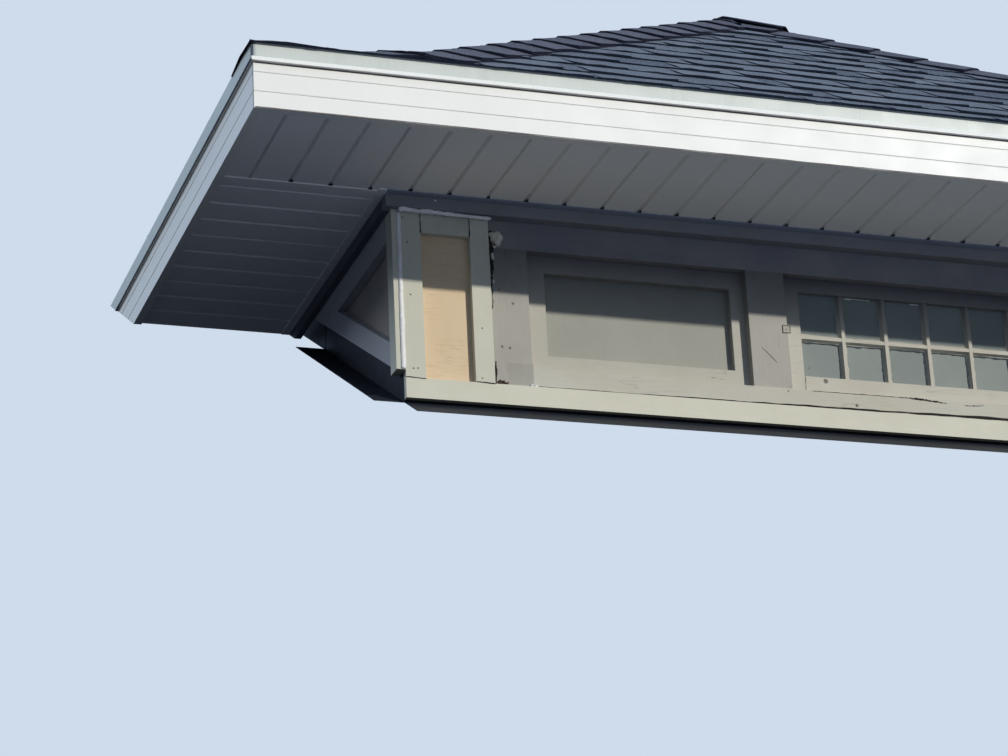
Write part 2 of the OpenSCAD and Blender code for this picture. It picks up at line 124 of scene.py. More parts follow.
# Faces of a closed slab whose top and underside are grids of nu by nv points
def slabFaces(nu, nv):
    i, j = np.meshgrid(np.arange(nu - 1), np.arange(nv - 1), indexing="ij")
    a = (i * nv + j).ravel()
    top = np.stack([a, a + nv, a + nv + 1, a + 1], 1)
    under = top[:, ::-1] + nu * nv
    rim = np.concatenate([np.arange(nu) * nv, (nu - 1) * nv + np.arange(1, nv),
                          np.arange(nu - 2, -1, -1) * nv + nv - 1, np.arange(nv - 2, 0, -1)])
    after = np.roll(rim, -1)
    side = np.stack([after, rim, rim + nu * nv, after + nu * nv], 1)
    return np.concatenate([top, under, side])


# Many slabs at once: top and under are arrays of slab, u, v and x, y, z
def slabs(top, under):
    count, nu, nv = top.shape[:3]
    points = np.stack([top, under], 1).reshape(-1, 3)
    step = 2 * nu * nv * np.arange(count)[:, None, None]
    return points, (slabFaces(nu, nv)[None] + step).reshape(-1, 4)


# Rings of points in order, closed into a skin with a flat face at either end
def ringed(rings):
    count, sides = rings.shape[:2]
    a = np.arange(sides)
    b = np.roll(a, -1)
    hoop = np.stack([a, b, b + sides, a + sides], 1)
    faces = (hoop[None] + sides * np.arange(count - 1)[:, None, None]).reshape(-1, 4)
    ends = [a[::-1].tolist(), (a + sides * (count - 1)).tolist()]
    return rings.reshape(-1, 3), faces.tolist() + ends


# A tube: circles of the given radii carried along a path that doesn't run along Y
def tube(path, radius, sides, flat):
    path = np.asarray(path, float)
    ahead = np.gradient(path, axis=0)
    ahead /= np.linalg.norm(ahead, axis=1)[:, None]
    out = np.cross(ahead, np.cross([0.0, -1.0, 0.0], ahead))
    out /= np.linalg.norm(out, axis=1)[:, None]
    across = np.cross(ahead, out)
    turn = 2 * np.pi * np.arange(sides) / sides
    size = np.broadcast_to(radius, len(path))[:, None, None]
    ring = (np.cos(turn)[None, :, None] * across[:, None]
            + flat * np.sin(turn)[None, :, None] * out[:, None])
    return ringed(path[:, None] + size * ring)


sunk = 0.0008        # how deep strips and spots are sunk into the face they lie on
thinnest = 0.0003    # least half width of a strip


# A strip on a face that looks forward. It follows points of x and z, and its edges
# wander by smoothed noise.
def strip(points, y, width, proud, rng, waver, steps):
    points = np.asarray(points, float)
    t = np.linspace(0, len(points) - 1, steps)
    knots = np.arange(len(points))
    middle = np.stack([np.interp(t, knots, points[:, k]) for k in (0, 1)], 1)
    ahead = np.gradient(middle, axis=0)
    ahead /= np.linalg.norm(ahead, axis=1)[:, None]
    out = np.stack([-ahead[:, 1], ahead[:, 0]], 1)
    widths = np.broadcast_to(width, len(points)) / 2
    half = np.interp(t, knots, widths)
    rag = rng.normal(0, waver, (2, steps + 2))
    rag = (rag[:, :-2] + rag[:, 1:-1] + rag[:, 2:]) / 1.7
    high = middle + out * np.maximum(half + rag[0], thinnest)[:, None]
    low = middle - out * np.maximum(half + rag[1], thinnest)[:, None]
    ring = np.stack([high, high, low, low], 1)
    depth = np.broadcast_to(y + np.array([sunk, -proud, -proud, sunk]), (steps, 4))
    return ringed(np.stack([ring[..., 0], depth, ring[..., 1]], -1))


# A lump: rings of a squashed ball whose radius swells and shrinks in a few waves
def lump(centre, size, rng, rough, sides=16, count=10):
    polar = np.pi * (np.arange(count) + 0.5) / count
    p, q = np.meshgrid(polar, 2 * np.pi * np.arange(sides) / sides, indexing="ij")
    waves = [np.sin(rng.integers(1, 5) * q + rng.integers(1, 4) * p + rng.uniform(0, 6.3))
             for _ in range(5)]
    radius = 1 + rough * sum(waves) / 2
    ball = np.stack([np.sin(p) * np.cos(q), np.cos(p), np.sin(p) * np.sin(q)], -1)
    return ringed(np.asarray(centre) + ball * radius[..., None] * np.asarray(size))


# Heads of nails, or small spots: low domes on a face that looks forward
def dome(x, z, y, radius, proud):
    turn = 2 * np.pi * np.arange(8) / 8
    rings = [(radius, sunk), (radius, -0.4 * proud), (0.6 * radius, -proud)]
    return ringed(np.stack([np.stack([x + r * np.cos(turn), np.full(8, y + d),
                                      z + r * np.sin(turn)], -1) for r, d in rings]))


# Joins several lots of points and faces into one
def joined(parts):
    points, faces, start = [], [], 0
    for some, loops in parts:
        points.append(np.reshape(some, (-1, 3)))
        faces += [[k + start for k in loop] for loop in np.asarray(loops, object).tolist()]
        start += len(points[-1])
    return np.concatenate(points), faces


# Blocks between two corners, as closed slabs
def blocks(lows, highs):
    low = np.asarray(lows, float)[:, None, None]
    high = np.asarray(highs, float)[:, None, None]
    pick = np.array([[[0, 0], [0, 1]], [[1, 0], [1, 1]]], float)[None]
    x = low[..., 0] + (high - low)[..., 0] * pick[..., 0]
    z = low[..., 2] + (high - low)[..., 2] * pick[..., 1]
    front = np.stack([x, np.broadcast_to(low[..., 1], x.shape), z], -1)
    back = np.stack([x, np.broadcast_to(high[..., 1], x.shape), z], -1)
    return slabs(front, back)


# Shader parts

# Links or sets an input; colours come as red, green and blue
def feed(socket, value):
    if isinstance(value, bpy.types.NodeSocket):
        socket.id_data.links.new(value, socket)
    else:
        socket.default_value = (*value, 1) if socket.type == "RGBA" else value


# Adds a node beside another node or socket, sets its settings and feeds its inputs
def addNode(beside, kind, sockets=None, **settings):
    node = beside.id_data.nodes.new(kind)
    for name, value in settings.items():
        setattr(node, name, value)
    for key, value in (sockets or {}).items():
        feed(node.inputs[key], value)
    return node


def calc(operation, *values, clamp=False):
    beside = next(value for value in values if isinstance(value, bpy.types.NodeSocket))
    return addNode(beside, "ShaderNodeMath", dict(enumerate(values)), operation=operation,
                   use_clamp=clamp).outputs[0]


def times(first, second):
    return calc("MULTIPLY", first, second)


def blend(factor, first, second):
    return addNode(factor, "ShaderNodeMix", {0: factor, 6: first, 7: second},
                   data_type="RGBA").outputs[2]


# Runs from 0 to 1 while value runs from low to high
def ramp(value, low, high):
    sockets = {"Value": value, "From Min": low, "From Max": high}
    return addNode(value, "ShaderNodeMapRange", sockets).outputs[0]


def noise(place, scale, detail=3.0, rough=0.5, distortion=0.0):
    sockets = {"Vector": place, "Scale": scale, "Detail": detail, "Roughness": rough,
               "Distortion": distortion}
    return addNode(place, "ShaderNodeTexNoise", sockets).outputs["Fac"]


def stretched(place, by):
    return addNode(place, "ShaderNodeVectorMath", {0: place, 1: by},
                   operation="MULTIPLY").outputs[0]


def axes(place):
    return addNode(place, "ShaderNodeSeparateXYZ", {0: place}).outputs


def toneOf(place):
    return addNode(place, "ShaderNodeAttribute", attribute_name="tone").outputs["Fac"]


# Starts a group of nodes with named inputs and outputs
def newGroup(name, inputs, outputs):
    tree = bpy.data.node_groups.new(name, "ShaderNodeTree")
    for way, labels in (("INPUT", inputs), ("OUTPUT", outputs)):
        for label, kind in labels.items():
            tree.interface.new_socket(label, in_out=way, socket_type="NodeSocket" + kind)
    given = addNode(tree, "NodeGroupInput").outputs
    return tree, given, given["Place"], addNode(tree, "NodeGroupOutput").inputs


crackColor = (0.07, 0.055, 0.045)


# Old paint on wood: soil in broad patches, chips down to the wood and fine cracks, which
# are contour lines of noise. Stretch makes the pattern long along the board.
def makeWeatheredPaint():
    tree, given, place, result = newGroup(
        "weatheredPaint",
        {"Place": "Vector", "Stretch": "Vector", "Paint": "Color", "Bare": "Color",
         "Soil": "Color", "Soiling": "Float", "Chips": "Float", "Cracks": "Float"},
        {"Color": "Color", "Roughness": "Float", "Height": "Float"})
    along = stretched(place, given["Stretch"])
    broad = noise(place, 6.0, 4.0, 0.6)
    brush = noise(along, 160.0, 4.0, 0.6)
    patch = noise(place, 9.0, 2.0)
    soiled = times(ramp(broad, 0.38, 0.7), given["Soiling"])
    color = blend(soiled, given["Paint"], given["Soil"])
    color = blend(times(ramp(brush, 0.45, 0.75), 0.16), color, given["Soil"])
    edge = calc("MULTIPLY_ADD", given["Chips"], -0.24, 0.82)
    chips = ramp(calc("SUBTRACT", noise(along, 42.0, 6.0, 0.68), edge), 0.0, 0.02)
    color = blend(chips, color, given["Bare"])
    wave = noise(along, 26.0, 3.0, 0.6, 0.4)
    away = calc("ABSOLUTE", calc("SUBTRACT", wave, 0.5))
    thin = calc("SUBTRACT", 1.0, ramp(away, 0.001, 0.006))
    cracked = times(times(thin, ramp(patch, 0.5, 0.62)), given["Cracks"])
    feed(result["Color"], blend(cracked, color, crackColor))
    feed(result["Roughness"], calc("MULTIPLY_ADD", chips, 0.3, 0.52))
    feed(result["Height"], calc("SUBTRACT", times(brush, 0.35),
                                calc("ADD", times(chips, 0.6), cracked)))
    return tree


# Stains that rain leaves: noise drawn out long and thin down the sheet
def makeRainStreaks():
    tree, given, place, result = newGroup(
        "rainStreaks", {"Place": "Vector", "Streaks": "Float"}, {"Mask": "Float"})
    lines = ramp(noise(stretched(place, (1.0, 1.0, 0.02)), 34.0, 5.0, 0.7), 0.5, 0.72)
    feed(result["Mask"], times(times(lines, noise(place, 3.0, 2.0)), given["Streaks"]))
    return tree


# Waviness of thin sheet metal, broad and shallow, with a faint fine grain
def makeSheetRipple():
    tree, given, place, result = newGroup(
        "sheetRipple", {"Place": "Vector", "Reach": "Float"}, {"Height": "Float"})
    feed(result["Height"], calc("MULTIPLY_ADD", noise(place, 420.0, 2.0), 0.04,
                                noise(place, given["Reach"], 1.0)))
    return tree


# Mineral granules: fine speckle, a colder and a warmer lot, and a rough surface
def makeGranules():
    tree, given, place, result = newGroup(
        "granules", {"Place": "Vector", "Base": "Color", "Pale": "Color", "Dark": "Color",
                     "Tone": "Float"}, {"Color": "Color", "Height": "Float"})
    grain = addNode(tree, "ShaderNodeTexVoronoi", {"Vector": place, "Scale": 420.0})
    value = addNode(tree, "ShaderNodeSeparateColor", {0: grain.outputs["Color"]}).outputs[0]
    blotch = ramp(noise(place, 14.0, 4.0, 0.6), 0.5, 0.8)
    color = blend(given["Tone"], given["Dark"], given["Base"])
    color = blend(ramp(value, 0.62, 0.95), color, given["Pale"])
    feed(result["Color"], blend(times(blotch, 0.5), color, given["Dark"]))
    feed(result["Height"], grain.outputs["Distance"])
    return tree


# Peeled veneer: faint mottling down the sheet, slanting strokes in patches, fine pores
def makeVeneerGrain():
    tree, given, place, result = newGroup(
        "veneerGrain", {"Place": "Vector", "Pale": "Color", "Dark": "Color"},
        {"Color": "Color", "Height": "Float"})
    slanted = addNode(tree, "ShaderNodeMapping", {
        "Vector": place, "Rotation": (0.0, math.radians(-38), 0.0),
        "Scale": (0.3, 1.0, 2.2)}).outputs[0]
    strokes = ramp(noise(slanted, 75.0, 3.0, 0.6, 0.8), 0.5, 0.68)
    patch = ramp(noise(place, 11.0, 2.0), 0.42, 0.62)
    broad = ramp(noise(stretched(place, (1.0, 1.0, 0.3)), 9.0, 3.0, 0.6), 0.3, 0.7)
    pores = noise(stretched(place, (1.0, 1.0, 0.08)), 500.0, 2.0)
    soft = calc("ADD", times(broad, 0.45), times(pores, 0.2))
    factor = calc("ADD", times(times(strokes, patch), 0.5), soft, clamp=True)
    feed(result["Color"], blend(factor, given["Pale"], given["Dark"]))
    feed(result["Height"], factor)
    return tree


weatheredPaint = makeWeatheredPaint()
rainStreaks = makeRainStreaks()
sheetRipple = makeSheetRipple()
granules = makeGranules()
veneerGrain = makeVeneerGrain()
print("shader groups made")


# A new material with its shader and the object's own coordinates
def newMaterial(name):
    material = bpy.data.materials.new(name)
    material.use_nodes = True
    shader = material.node_tree.nodes["Principled BSDF"]
    return material, shader, addNode(shader, "ShaderNodeTexCoord").outputs["Object"]


# Places a group in a material: each input takes the value that goes by its name
def useGroup(group, place, values):
    sockets = {item.name: values[item.name.lower()] for item in group.interface.items_tree
               if item.in_out == "INPUT" and item.name != "Place"}
    return addNode(place, "ShaderNodeGroup", dict(sockets, Place=place),
                   node_tree=group).outputs


# Feeds a shader. The height, between 0 and 1, becomes a bump of values["depth"] metres.
def finishShader(shader, values, color, roughness, height):
    bump = addNode(shader, "ShaderNodeBump", {"Height": height, "Distance": values["depth"]})
    for label, value in (("Base Color", color), ("Roughness", roughness),
                         ("Specular IOR Level", values["gloss"]),
                         ("Normal", bump.outputs[0])):
        feed(shader.inputs[label], value)


eaveShadeAndSoot = dict(color=(0.02, 0.028, 0.055), low=0.25, high=0.40)   # painted shade under the eave, with some soot: darkens the old wood towards the top


def paintedWood(name, values, paint=None):
    material, shader, place = newMaterial(name)
    used = useGroup(weatheredPaint, place, values)
    if paint:
        feed(used["Color"].node.inputs["Paint"], paint(place))
    # Painted shade under the eave, with some soot: the paint darkens and turns bluer towards
    # the top
    sooted = times(ramp(axes(place)[2], eaveShadeAndSoot["low"], eaveShadeAndSoot["high"]), values["sooted"])
    finishShader(shader, values, blend(sooted, used["Color"], eaveShadeAndSoot["color"]),
                 used["Roughness"], used["Height"])
    return material


def sheetMetal(name, values, paint=None):
    material, shader, place = newMaterial(name)
    streaks = useGroup(rainStreaks, place, values)["Mask"]
    ripple = useGroup(sheetRipple, place, values)["Height"]
    soft = times(noise(place, 4.0, 3.0), values["mottle"])
    color = blend(soft, values["color"], values["stain"])
    color = blend(streaks, color, values["stain"])
    if paint:
        color = paint(place, color, values)
    rough = calc("MULTIPLY_ADD", noise(place, 12.0), 0.2, values["roughness"] - 0.1)
    finishShader(shader, values, color, rough, ripple)
    return material


# Shingles: faces that stand nearly upright or face down are darker, partly as the bare
# asphalt of cut edges and partly as painted shade in the gaps under butts and caps
def asphalt(name, values):
    material, shader, place = newMaterial(name)
    used = useGroup(granules, place, dict(values, tone=toneOf(place)))
    facing = addNode(place, "ShaderNodeNewGeometry").outputs["True Normal"]
    butt = calc("LESS_THAN", axes(facing)[2], 0.45)
    finishShader(shader, values, blend(butt, used["Color"], values["butt"]),
                 values["roughness"], used["Height"])
    return material


def veneer(name, values):
    material, shader, place = newMaterial(name)
    used = useGroup(veneerGrain, place, values)
    finishShader(shader, values, used["Color"], values["roughness"], used["Height"])
    return material


# Soft compounds and small metal: one colour broken up by noise, with its own roughness
def plainSurface(name, values):
    material, shader, place = newMaterial(name)
    broken = noise(place, values["scale"], 5.0, 0.6)
    color = blend(ramp(broken, 0.35, 0.7), values["color"], values["dark"])
    finishShader(shader, values, color, values["roughness"], broken)
    return material


# Paints, metals and the rest. Colours are red, green and blue, and depth is how deep the
# surface's bumps are, in metres.

upright = (1.0, 1.0, 0.08)    # stretch of the paint's pattern, along Z
level = (0.08, 1.0, 1.0)      # and along X
newBoards = dict(paint=(0.64, 0.63, 0.515), bare=(0.55, 0.46, 0.33), soil=(0.50, 0.49, 0.40),
                 soiling=0.35, chips=0.06, cracks=0.0, stretch=upright, sooted=0.0,
                 gloss=0.2, depth=0.0006)
apronPaint = dict(newBoards, paint=(0.69, 0.67, 0.545), soil=(0.56, 0.54, 0.43),
                  stretch=level, chips=0.1)
# Old paints take painted shade under the eave, with some soot, towards their tops
oldPaint = dict(paint=(0.405, 0.387, 0.338), bare=(0.30, 0.25, 0.19),
                soil=(0.325, 0.308, 0.268), soiling=0.5, chips=0.2, cracks=0.22,
                stretch=upright, sooted=0.56, gloss=0.2, depth=0.0012)
flakingPaint = dict(oldPaint, paint=(0.55, 0.53, 0.45), soil=(0.46, 0.41, 0.33), chips=0.5,
                    cracks=0.2, stretch=level, sooted=0.8, depth=0.0015)
framePaint = dict(flakingPaint, paint=(0.49, 0.468, 0.40), soil=(0.42, 0.385, 0.32),
                  chips=0.45, sooted=0.68)
# The old head board's paint is darkened as painted shade under the frieze and soffit
shadedOldHead = dict(oldPaint, paint=(0.205, 0.20, 0.22), stretch=level, cracks=0.1, sooted=0.0)
panelPaint = dict(oldPaint, paint=(0.355, 0.352, 0.302), soil=(0.30, 0.295, 0.25),
                  chips=0.0, cracks=0.0, soiling=0.4, depth=0.0005)
# The frieze's paint is darker than the old paint, partly as painted shade under the soffit
friezePaint = dict(shadedOldHead, paint=(0.25, 0.25, 0.26), soil=(0.20, 0.20, 0.21))
# The side friezes are near navy as painted shade under the side soffits
sideFriezePaint = dict(friezePaint, paint=(0.11, 0.115, 0.14), soil=(0.08, 0.085, 0.10))
railPaint = dict(friezePaint, paint=(0.46, 0.455, 0.47), soil=(0.38, 0.375, 0.38))
soffitMetal = dict(color=(0.89, 0.87, 0.82), stain=(0.74, 0.71, 0.66), streaks=0.0,
                   mottle=0.35, reach=5.0, roughness=0.5, gloss=0.12, depth=0.002)
# The channel takes painted shade where it runs along the walls
channelMetal = dict(soffitMetal, shade=(0.27, 0.30, 0.37), reachOut=0.042)
fasciaMetal = dict(color=(0.842, 0.818, 0.74), stain=(0.72, 0.70, 0.62), streaks=0.25,
                   mottle=0.2, reach=3.0, roughness=0.42, gloss=0.3, depth=0.003)
# The lip's front colour is a painted highlight, and its side colour painted shade
dripMetal = dict(color=(0.605, 0.63, 0.555), stain=(0.46, 0.48, 0.43), streaks=0.8,
                 mottle=0.3, reach=4.0, roughness=0.4, gloss=0.3, depth=0.002,
                 lipTop=0.6308, lip=(0.82, 0.79, 0.71), sideLip=(0.07, 0.09, 0.11),
                 sideOut=0.0045, endRun=0.012)   # where the side lip and dark ends start
# The flashing is near black: dark metal, darkened further as painted shade under the eave
flashingMetal = dict(color=(0.013, 0.017, 0.026), stain=(0.035, 0.038, 0.048), streaks=0.5,
                     mottle=0.3, reach=6.0, roughness=0.5, gloss=0.12, depth=0.002)
# butt colours are partly bare asphalt and partly painted shade under butts and caps
shingleColors = dict(base=(0.125, 0.140, 0.162), pale=(0.20, 0.218, 0.241),
                     dark=(0.052, 0.062, 0.083), butt=(0.006, 0.010, 0.020),
                     roughness=0.86, gloss=0.12, depth=0.0015)
capColors = dict(shingleColors, base=(0.094, 0.097, 0.115), pale=(0.14, 0.145, 0.17),
                 dark=(0.05, 0.051, 0.068), butt=(0.008, 0.009, 0.019))
plywoodColors = dict(pale=(0.80, 0.635, 0.43), dark=(0.68, 0.50, 0.31), roughness=0.7,
                     gloss=0.15, depth=0.0006)
cheekColors = dict(plywoodColors, pale=(0.47, 0.42, 0.38), dark=(0.36, 0.32, 0.28))
timberColors = dict(plywoodColors, pale=(0.62, 0.43, 0.24), dark=(0.45, 0.29, 0.15),
                    depth=0.0008)
glassColors = dict(color=(0.18, 0.215, 0.205), dust=(0.25, 0.28, 0.26), roughness=0.64)
sealant = dict(color=(0.93, 0.93, 0.91), dark=(0.78, 0.78, 0.77), scale=90.0, roughness=0.5,
               gloss=0.2, depth=0.001)
compounds = dict(
    sealant=sealant,
    foam=dict(sealant, color=(0.86, 0.81, 0.70), dark=(0.60, 0.54, 0.43), scale=120.0,
              roughness=0.8, depth=0.002),
    # dark open joints, and painted shade at the soffit's groove ends
    openJoint=dict(sealant, color=(0.035, 0.03, 0.028), dark=(0.012, 0.011, 0.011),
                   roughness=0.9),
    seam=dict(sealant, color=(0.085, 0.115, 0.13), dark=(0.05, 0.07, 0.085), roughness=0.8),
    footLine=dict(sealant, color=(0.20, 0.17, 0.15), dark=(0.15, 0.125, 0.11),
                  roughness=0.8),
    rust=dict(sealant, color=(0.16, 0.11, 0.08), dark=(0.07, 0.05, 0.04), roughness=0.85),
    latchPaint=dict(sealant, color=(0.47, 0.45, 0.385), dark=(0.40, 0.38, 0.33),
                    roughness=0.6),
    stain=dict(sealant, color=(0.24, 0.215, 0.18), dark=(0.15, 0.13, 0.11), roughness=0.8),
)


boards = dict(corner=0.052, bay=0.129, trim=0.050)   # widths of the new boards at an end


# The board over the window is old, its paint darkened as painted shade under the frieze;
# past the pilasters the boards are new
def headPaint(place):
    across = calc("ABSOLUTE", axes(place)[0])
    new = calc("GREATER_THAN", across, halfWall - sum(boards.values()))
    return blend(new, shadedOldHead["paint"], newBoards["paint"])


# Glass gone dull with dust and old paint; each pane has a tone of its own
def dustyGlass(name, values):
    material, shader, place = newMaterial(name)
    clouds = ramp(noise(place, 9.0, 5.0, 0.6), 0.3, 0.8)
    dust = times(calc("ADD", clouds, toneOf(place)), 0.5)
    feed(shader.inputs["Base Color"], blend(dust, values["color"], values["dust"]))
    feed(shader.inputs["Roughness"], values["roughness"])
    return material


# The drip edge's lip is lighter than its band on the front, as a painted highlight where
# it catches the sun, and dark along the sides, as painted shade: its height along Z and its
# distance out along X tell them apart. The band's front ends are darker, partly as dirt and
# partly as painted shade.
def dripColor(place, color, values):
    x, y, z = axes(place)
    out = calc("ABSOLUTE", x)
    beside = calc("GREATER_THAN", out, halfSpan + values["sideOut"])
    lip = blend(beside, values["lip"], values["sideLip"])
    end = ramp(out, halfSpan - values["endRun"], halfSpan + 0.002)
    front = calc("LESS_THAN", y, eaveY + 0.001)
    color = blend(times(times(end, end), front), color, values["sideLip"])
    return blend(calc("LESS_THAN", z, values["lipTop"]), color, lip)


# Painted shade: the channel is darkened and blued where it runs along the walls under the
# soffits, and left pale between the two soffits
def channelColor(place, color, values):
    across = calc("ABSOLUTE", axes(place)[0])
    inside = calc("LESS_THAN", across, halfWall + values["reachOut"])
    return blend(inside, color, values["shade"])


finishes = dict(
    headPaint=paintedWood("headPaint", shadedOldHead, headPaint),
    channelMetal=sheetMetal("channelMetal", channelMetal, channelColor),
    dripMetal=sheetMetal("dripMetal", dripMetal, dripColor),
    dustyGlass=dustyGlass("dustyGlass", glassColors),
)
for make, lots in (
        (paintedWood, dict(newBoard=newBoards, apronPaint=apronPaint, oldPaint=oldPaint,
                           flakingPaint=flakingPaint, framePaint=framePaint,
                           panelPaint=panelPaint, friezePaint=friezePaint,
                           sideFriezePaint=sideFriezePaint, railPaint=railPaint)),
        (sheetMetal, dict(soffitMetal=soffitMetal, fasciaMetal=fasciaMetal,
                          flashingMetal=flashingMetal)),
        (asphalt, dict(shingleGranules=shingleColors, capGranules=capColors)),
        (veneer, dict(plywood=plywoodColors, cheekPlywood=cheekColors,
                      framingTimber=timberColors)),
        (plainSurface, compounds)):
    for name, values in lots.items():
        finishes[name] = make(name, values)
nodeFinish = dict(
    framingTimber=["front_sole_plate", "side_sole_plates", "front_studs", "side_studs",
                   "front_top_plate", "side_top_plates", "window_header",
                   "ceiling_joists", "ridge_board", "hip_rafters", "front_rafters",
                   "side_rafters", "valley_boards"],
    plywood=["front_roof_deck", "left_roof_deck", "right_roof_deck", "front_sheathing"],
    cheekPlywood=["side_sheathing"],
    soffitMetal=["front_soffit", "side_soffits"],
    channelMetal=["soffit_channels"],
    fasciaMetal=["front_fascia", "left_fascia", "right_fascia"],
    dripMetal=["drip_edges"],
    friezePaint=["front_frieze"],
    sideFriezePaint=["side_friezes"],
    railPaint=["side_rails"],
    headPaint=["head_boards"],
    newBoard=["corner_boards", "trim_boards"],
    oldPaint=["pilasters", "posts"],
    framePaint=["panel_frames"],
    panelPaint=["bay_panels"],
    flakingPaint=["window_sill", "window_sash"],
    apronPaint=["apron_board"],
    flashingMetal=["apron_flashing", "step_flashing"],
    shingleGranules=["front_shingles", "left_shingles", "right_shingles"],
    capGranules=["hip_caps", "ridge_cap"],
    dustyGlass=["window_glass"],
)
for finish, names in nodeFinish.items():
    for name in names:
        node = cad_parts[name]
        if not node.material_slots:
            node.data.materials.append(finishes[finish])
        for holder in node.material_slots:
            holder.material = finishes[finish]
print("materials made")

# Shingles

shingles = dict(
    exposure=0.1255,     # plan distance from one course to the next
    lap=0.03,            # how far a course runs on under the next one
    most=80,             # tabs drawn for a course, more than any needs
    tooth=(0.09, 0.26),  # widths of the thick tabs
    notch=(0.07, 0.19),  # widths between them
    shift=0.3,           # how far a course may start before its edge
    least=0.004,         # width under which a tab is left out
    gap=0.0009,          # half the gap between tabs
    thick=0.0115,        # height of a thick tab's butt above the deck
    thin=0.0075,         # height of the layer under it
    first=0.005,         # the same, in the course along the eave
    body=(0.007, 0.004),     # thickness of a thick tab and of the rest
    sideLip=0.002,       # how far the side slopes reach past their fascias
    head=0.002,          # height of a shingle's upper edge
    curl=(-0.0012, 0.002),   # how far the points of a butt stand off
    rag=0.0012,          # how uneven the line of a butt is
    wander=0.003,        # how far a butt strays from its line
    felt=(0.002, 0.0005),    # heights of the felt under them all
    hipStrip=0.24,       # tabs this near a hip and this near the eave lie flat under
    hipRun=0.36,         # the caps
    hipLift=0.003,
    seed=7,
)


# The tabs of a slope, as arrays of start, end, butt, height and tone
def tabRows(low, high, lip, rng):
    rows = []
    most, least = shingles["most"], shingles["least"]
    count = int(math.ceil((halfSpan + roof["lip"]) / shingles["exposure"]))
    for course in range(count):
        butt = -roof["lip"] + course * shingles["exposure"] if course else -lip
        widths = np.empty(most)
        widths[0::2] = rng.uniform(*shingles["tooth"], most // 2)
        widths[1::2] = rng.uniform(*shingles["notch"], most // 2)
        ends = low(butt) - rng.uniform(0, shingles["shift"]) + np.cumsum(widths)
        starts = ends - widths
        thick = np.arange(most) % 2 == 0
        height = np.where(thick, shingles["thick"], shingles["thin"])
        height = height if course else np.full(most, shingles["first"])
        tone = np.clip(rng.normal(0.6, 0.3, most) - ~thick * 0.2, 0, 1)
        stray = rng.uniform(-1, 1, most) * shingles["wander"] * (course > 0)
        keep = (ends > low(butt) + least) & (starts < high(butt) - least)
        rows.append(np.stack([starts, ends, butt + stray, height, tone], 1)[keep])
    return np.concatenate(rows)


# A slope's covering: a tab is a grid in u across and v up the slope. Its top drops in a
# straight line from butt to head, and low and high cut it off at hip and valley.
def coverSlope(name, node, place, low, high, lip, seed):
    rng = np.random.default_rng(seed)
    start, end, butt, height, tone = tabRows(low, high, lip, rng).T[:, :, None, None]
    u, v = grid(5, 4)
    gap = shingles["gap"]
    inward = butt + v * (shingles["exposure"] + shingles["lap"]) + 0 * u
    across = start + gap + (end - start - 2 * gap) * u + 0 * v
    curl = rng.uniform(*shingles["curl"], across.shape) * (1 - v)
    inward = inward + rng.uniform(-1, 1, across.shape) * shingles["rag"] * (v == 0)
    lift = height + (shingles["head"] - height) * v + curl
    inward = np.minimum(inward, halfSpan)
    across = np.clip(across, low(inward), high(inward)) + (u - 0.5) * 0.0006
    toHip = across - low(inward)
    if node == "front_shingles":
        toHip = np.minimum(toHip, high(inward) - across)
    corner = (toHip < shingles["hipStrip"]) & (inward < shingles["hipRun"]) & (butt > 0)
    lift = np.where(corner, np.minimum(lift, shingles["hipLift"]), lift)
    wide = np.ptp(across, axis=1).max(axis=1) > shingles["least"]
    body = np.where(height > shingles["thin"], *shingles["body"])
    top = place(across, inward, roofHeight(inward) + lift)
    under = place(across, inward, roofHeight(inward) + lift - body)
    rows = np.array([-lip, roof["kickRun"], halfSpan - 0.0005])[None, None, :]
    side = np.array([0.0, 1.0])[None, :, None]
    width = low(rows) + (high(rows) - low(rows)) * side
    felt = [place(width, rows + 0 * side, roofHeight(rows) + z + 0 * side)
            for z in shingles["felt"]]
    tones = np.concatenate([np.repeat(tone[wide].ravel(), 2 * u.size * v.size),
                            np.zeros(2 * width.size)])
    piece = makePiece(name, [slabs(top[wide], under[wide]), slabs(*felt)],
                      "shingleGranules", tones)
    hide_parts(node)


def hipLimit(inward):
    return halfSpan - inward


def valleyLimit(inward):
    return roofHeight(inward) / roof["housePitch"]


def frontPlace(across, inward, z):
    return np.stack([across, eaveY + inward, z], -1)


def leftPlace(across, inward, z):
    return np.stack([-halfSpan + inward, across, z], -1)


def rightPlace(across, inward, z):
    return np.stack([halfSpan - inward, across, z], -1)


coverSlope("front_shingle_courses", "front_shingles", frontPlace,
           lambda t: -hipLimit(t), hipLimit, roof["lip"], shingles["seed"])
coverSlope("left_shingle_courses", "left_shingles", leftPlace,
           lambda t: eaveY + t, valleyLimit, shingles["sideLip"], shingles["seed"] + 1)
coverSlope("right_shingle_courses", "right_shingles", rightPlace,
           lambda t: eaveY + t, valleyLimit, shingles["sideLip"], shingles["seed"] + 2)
print("shingle courses laid")

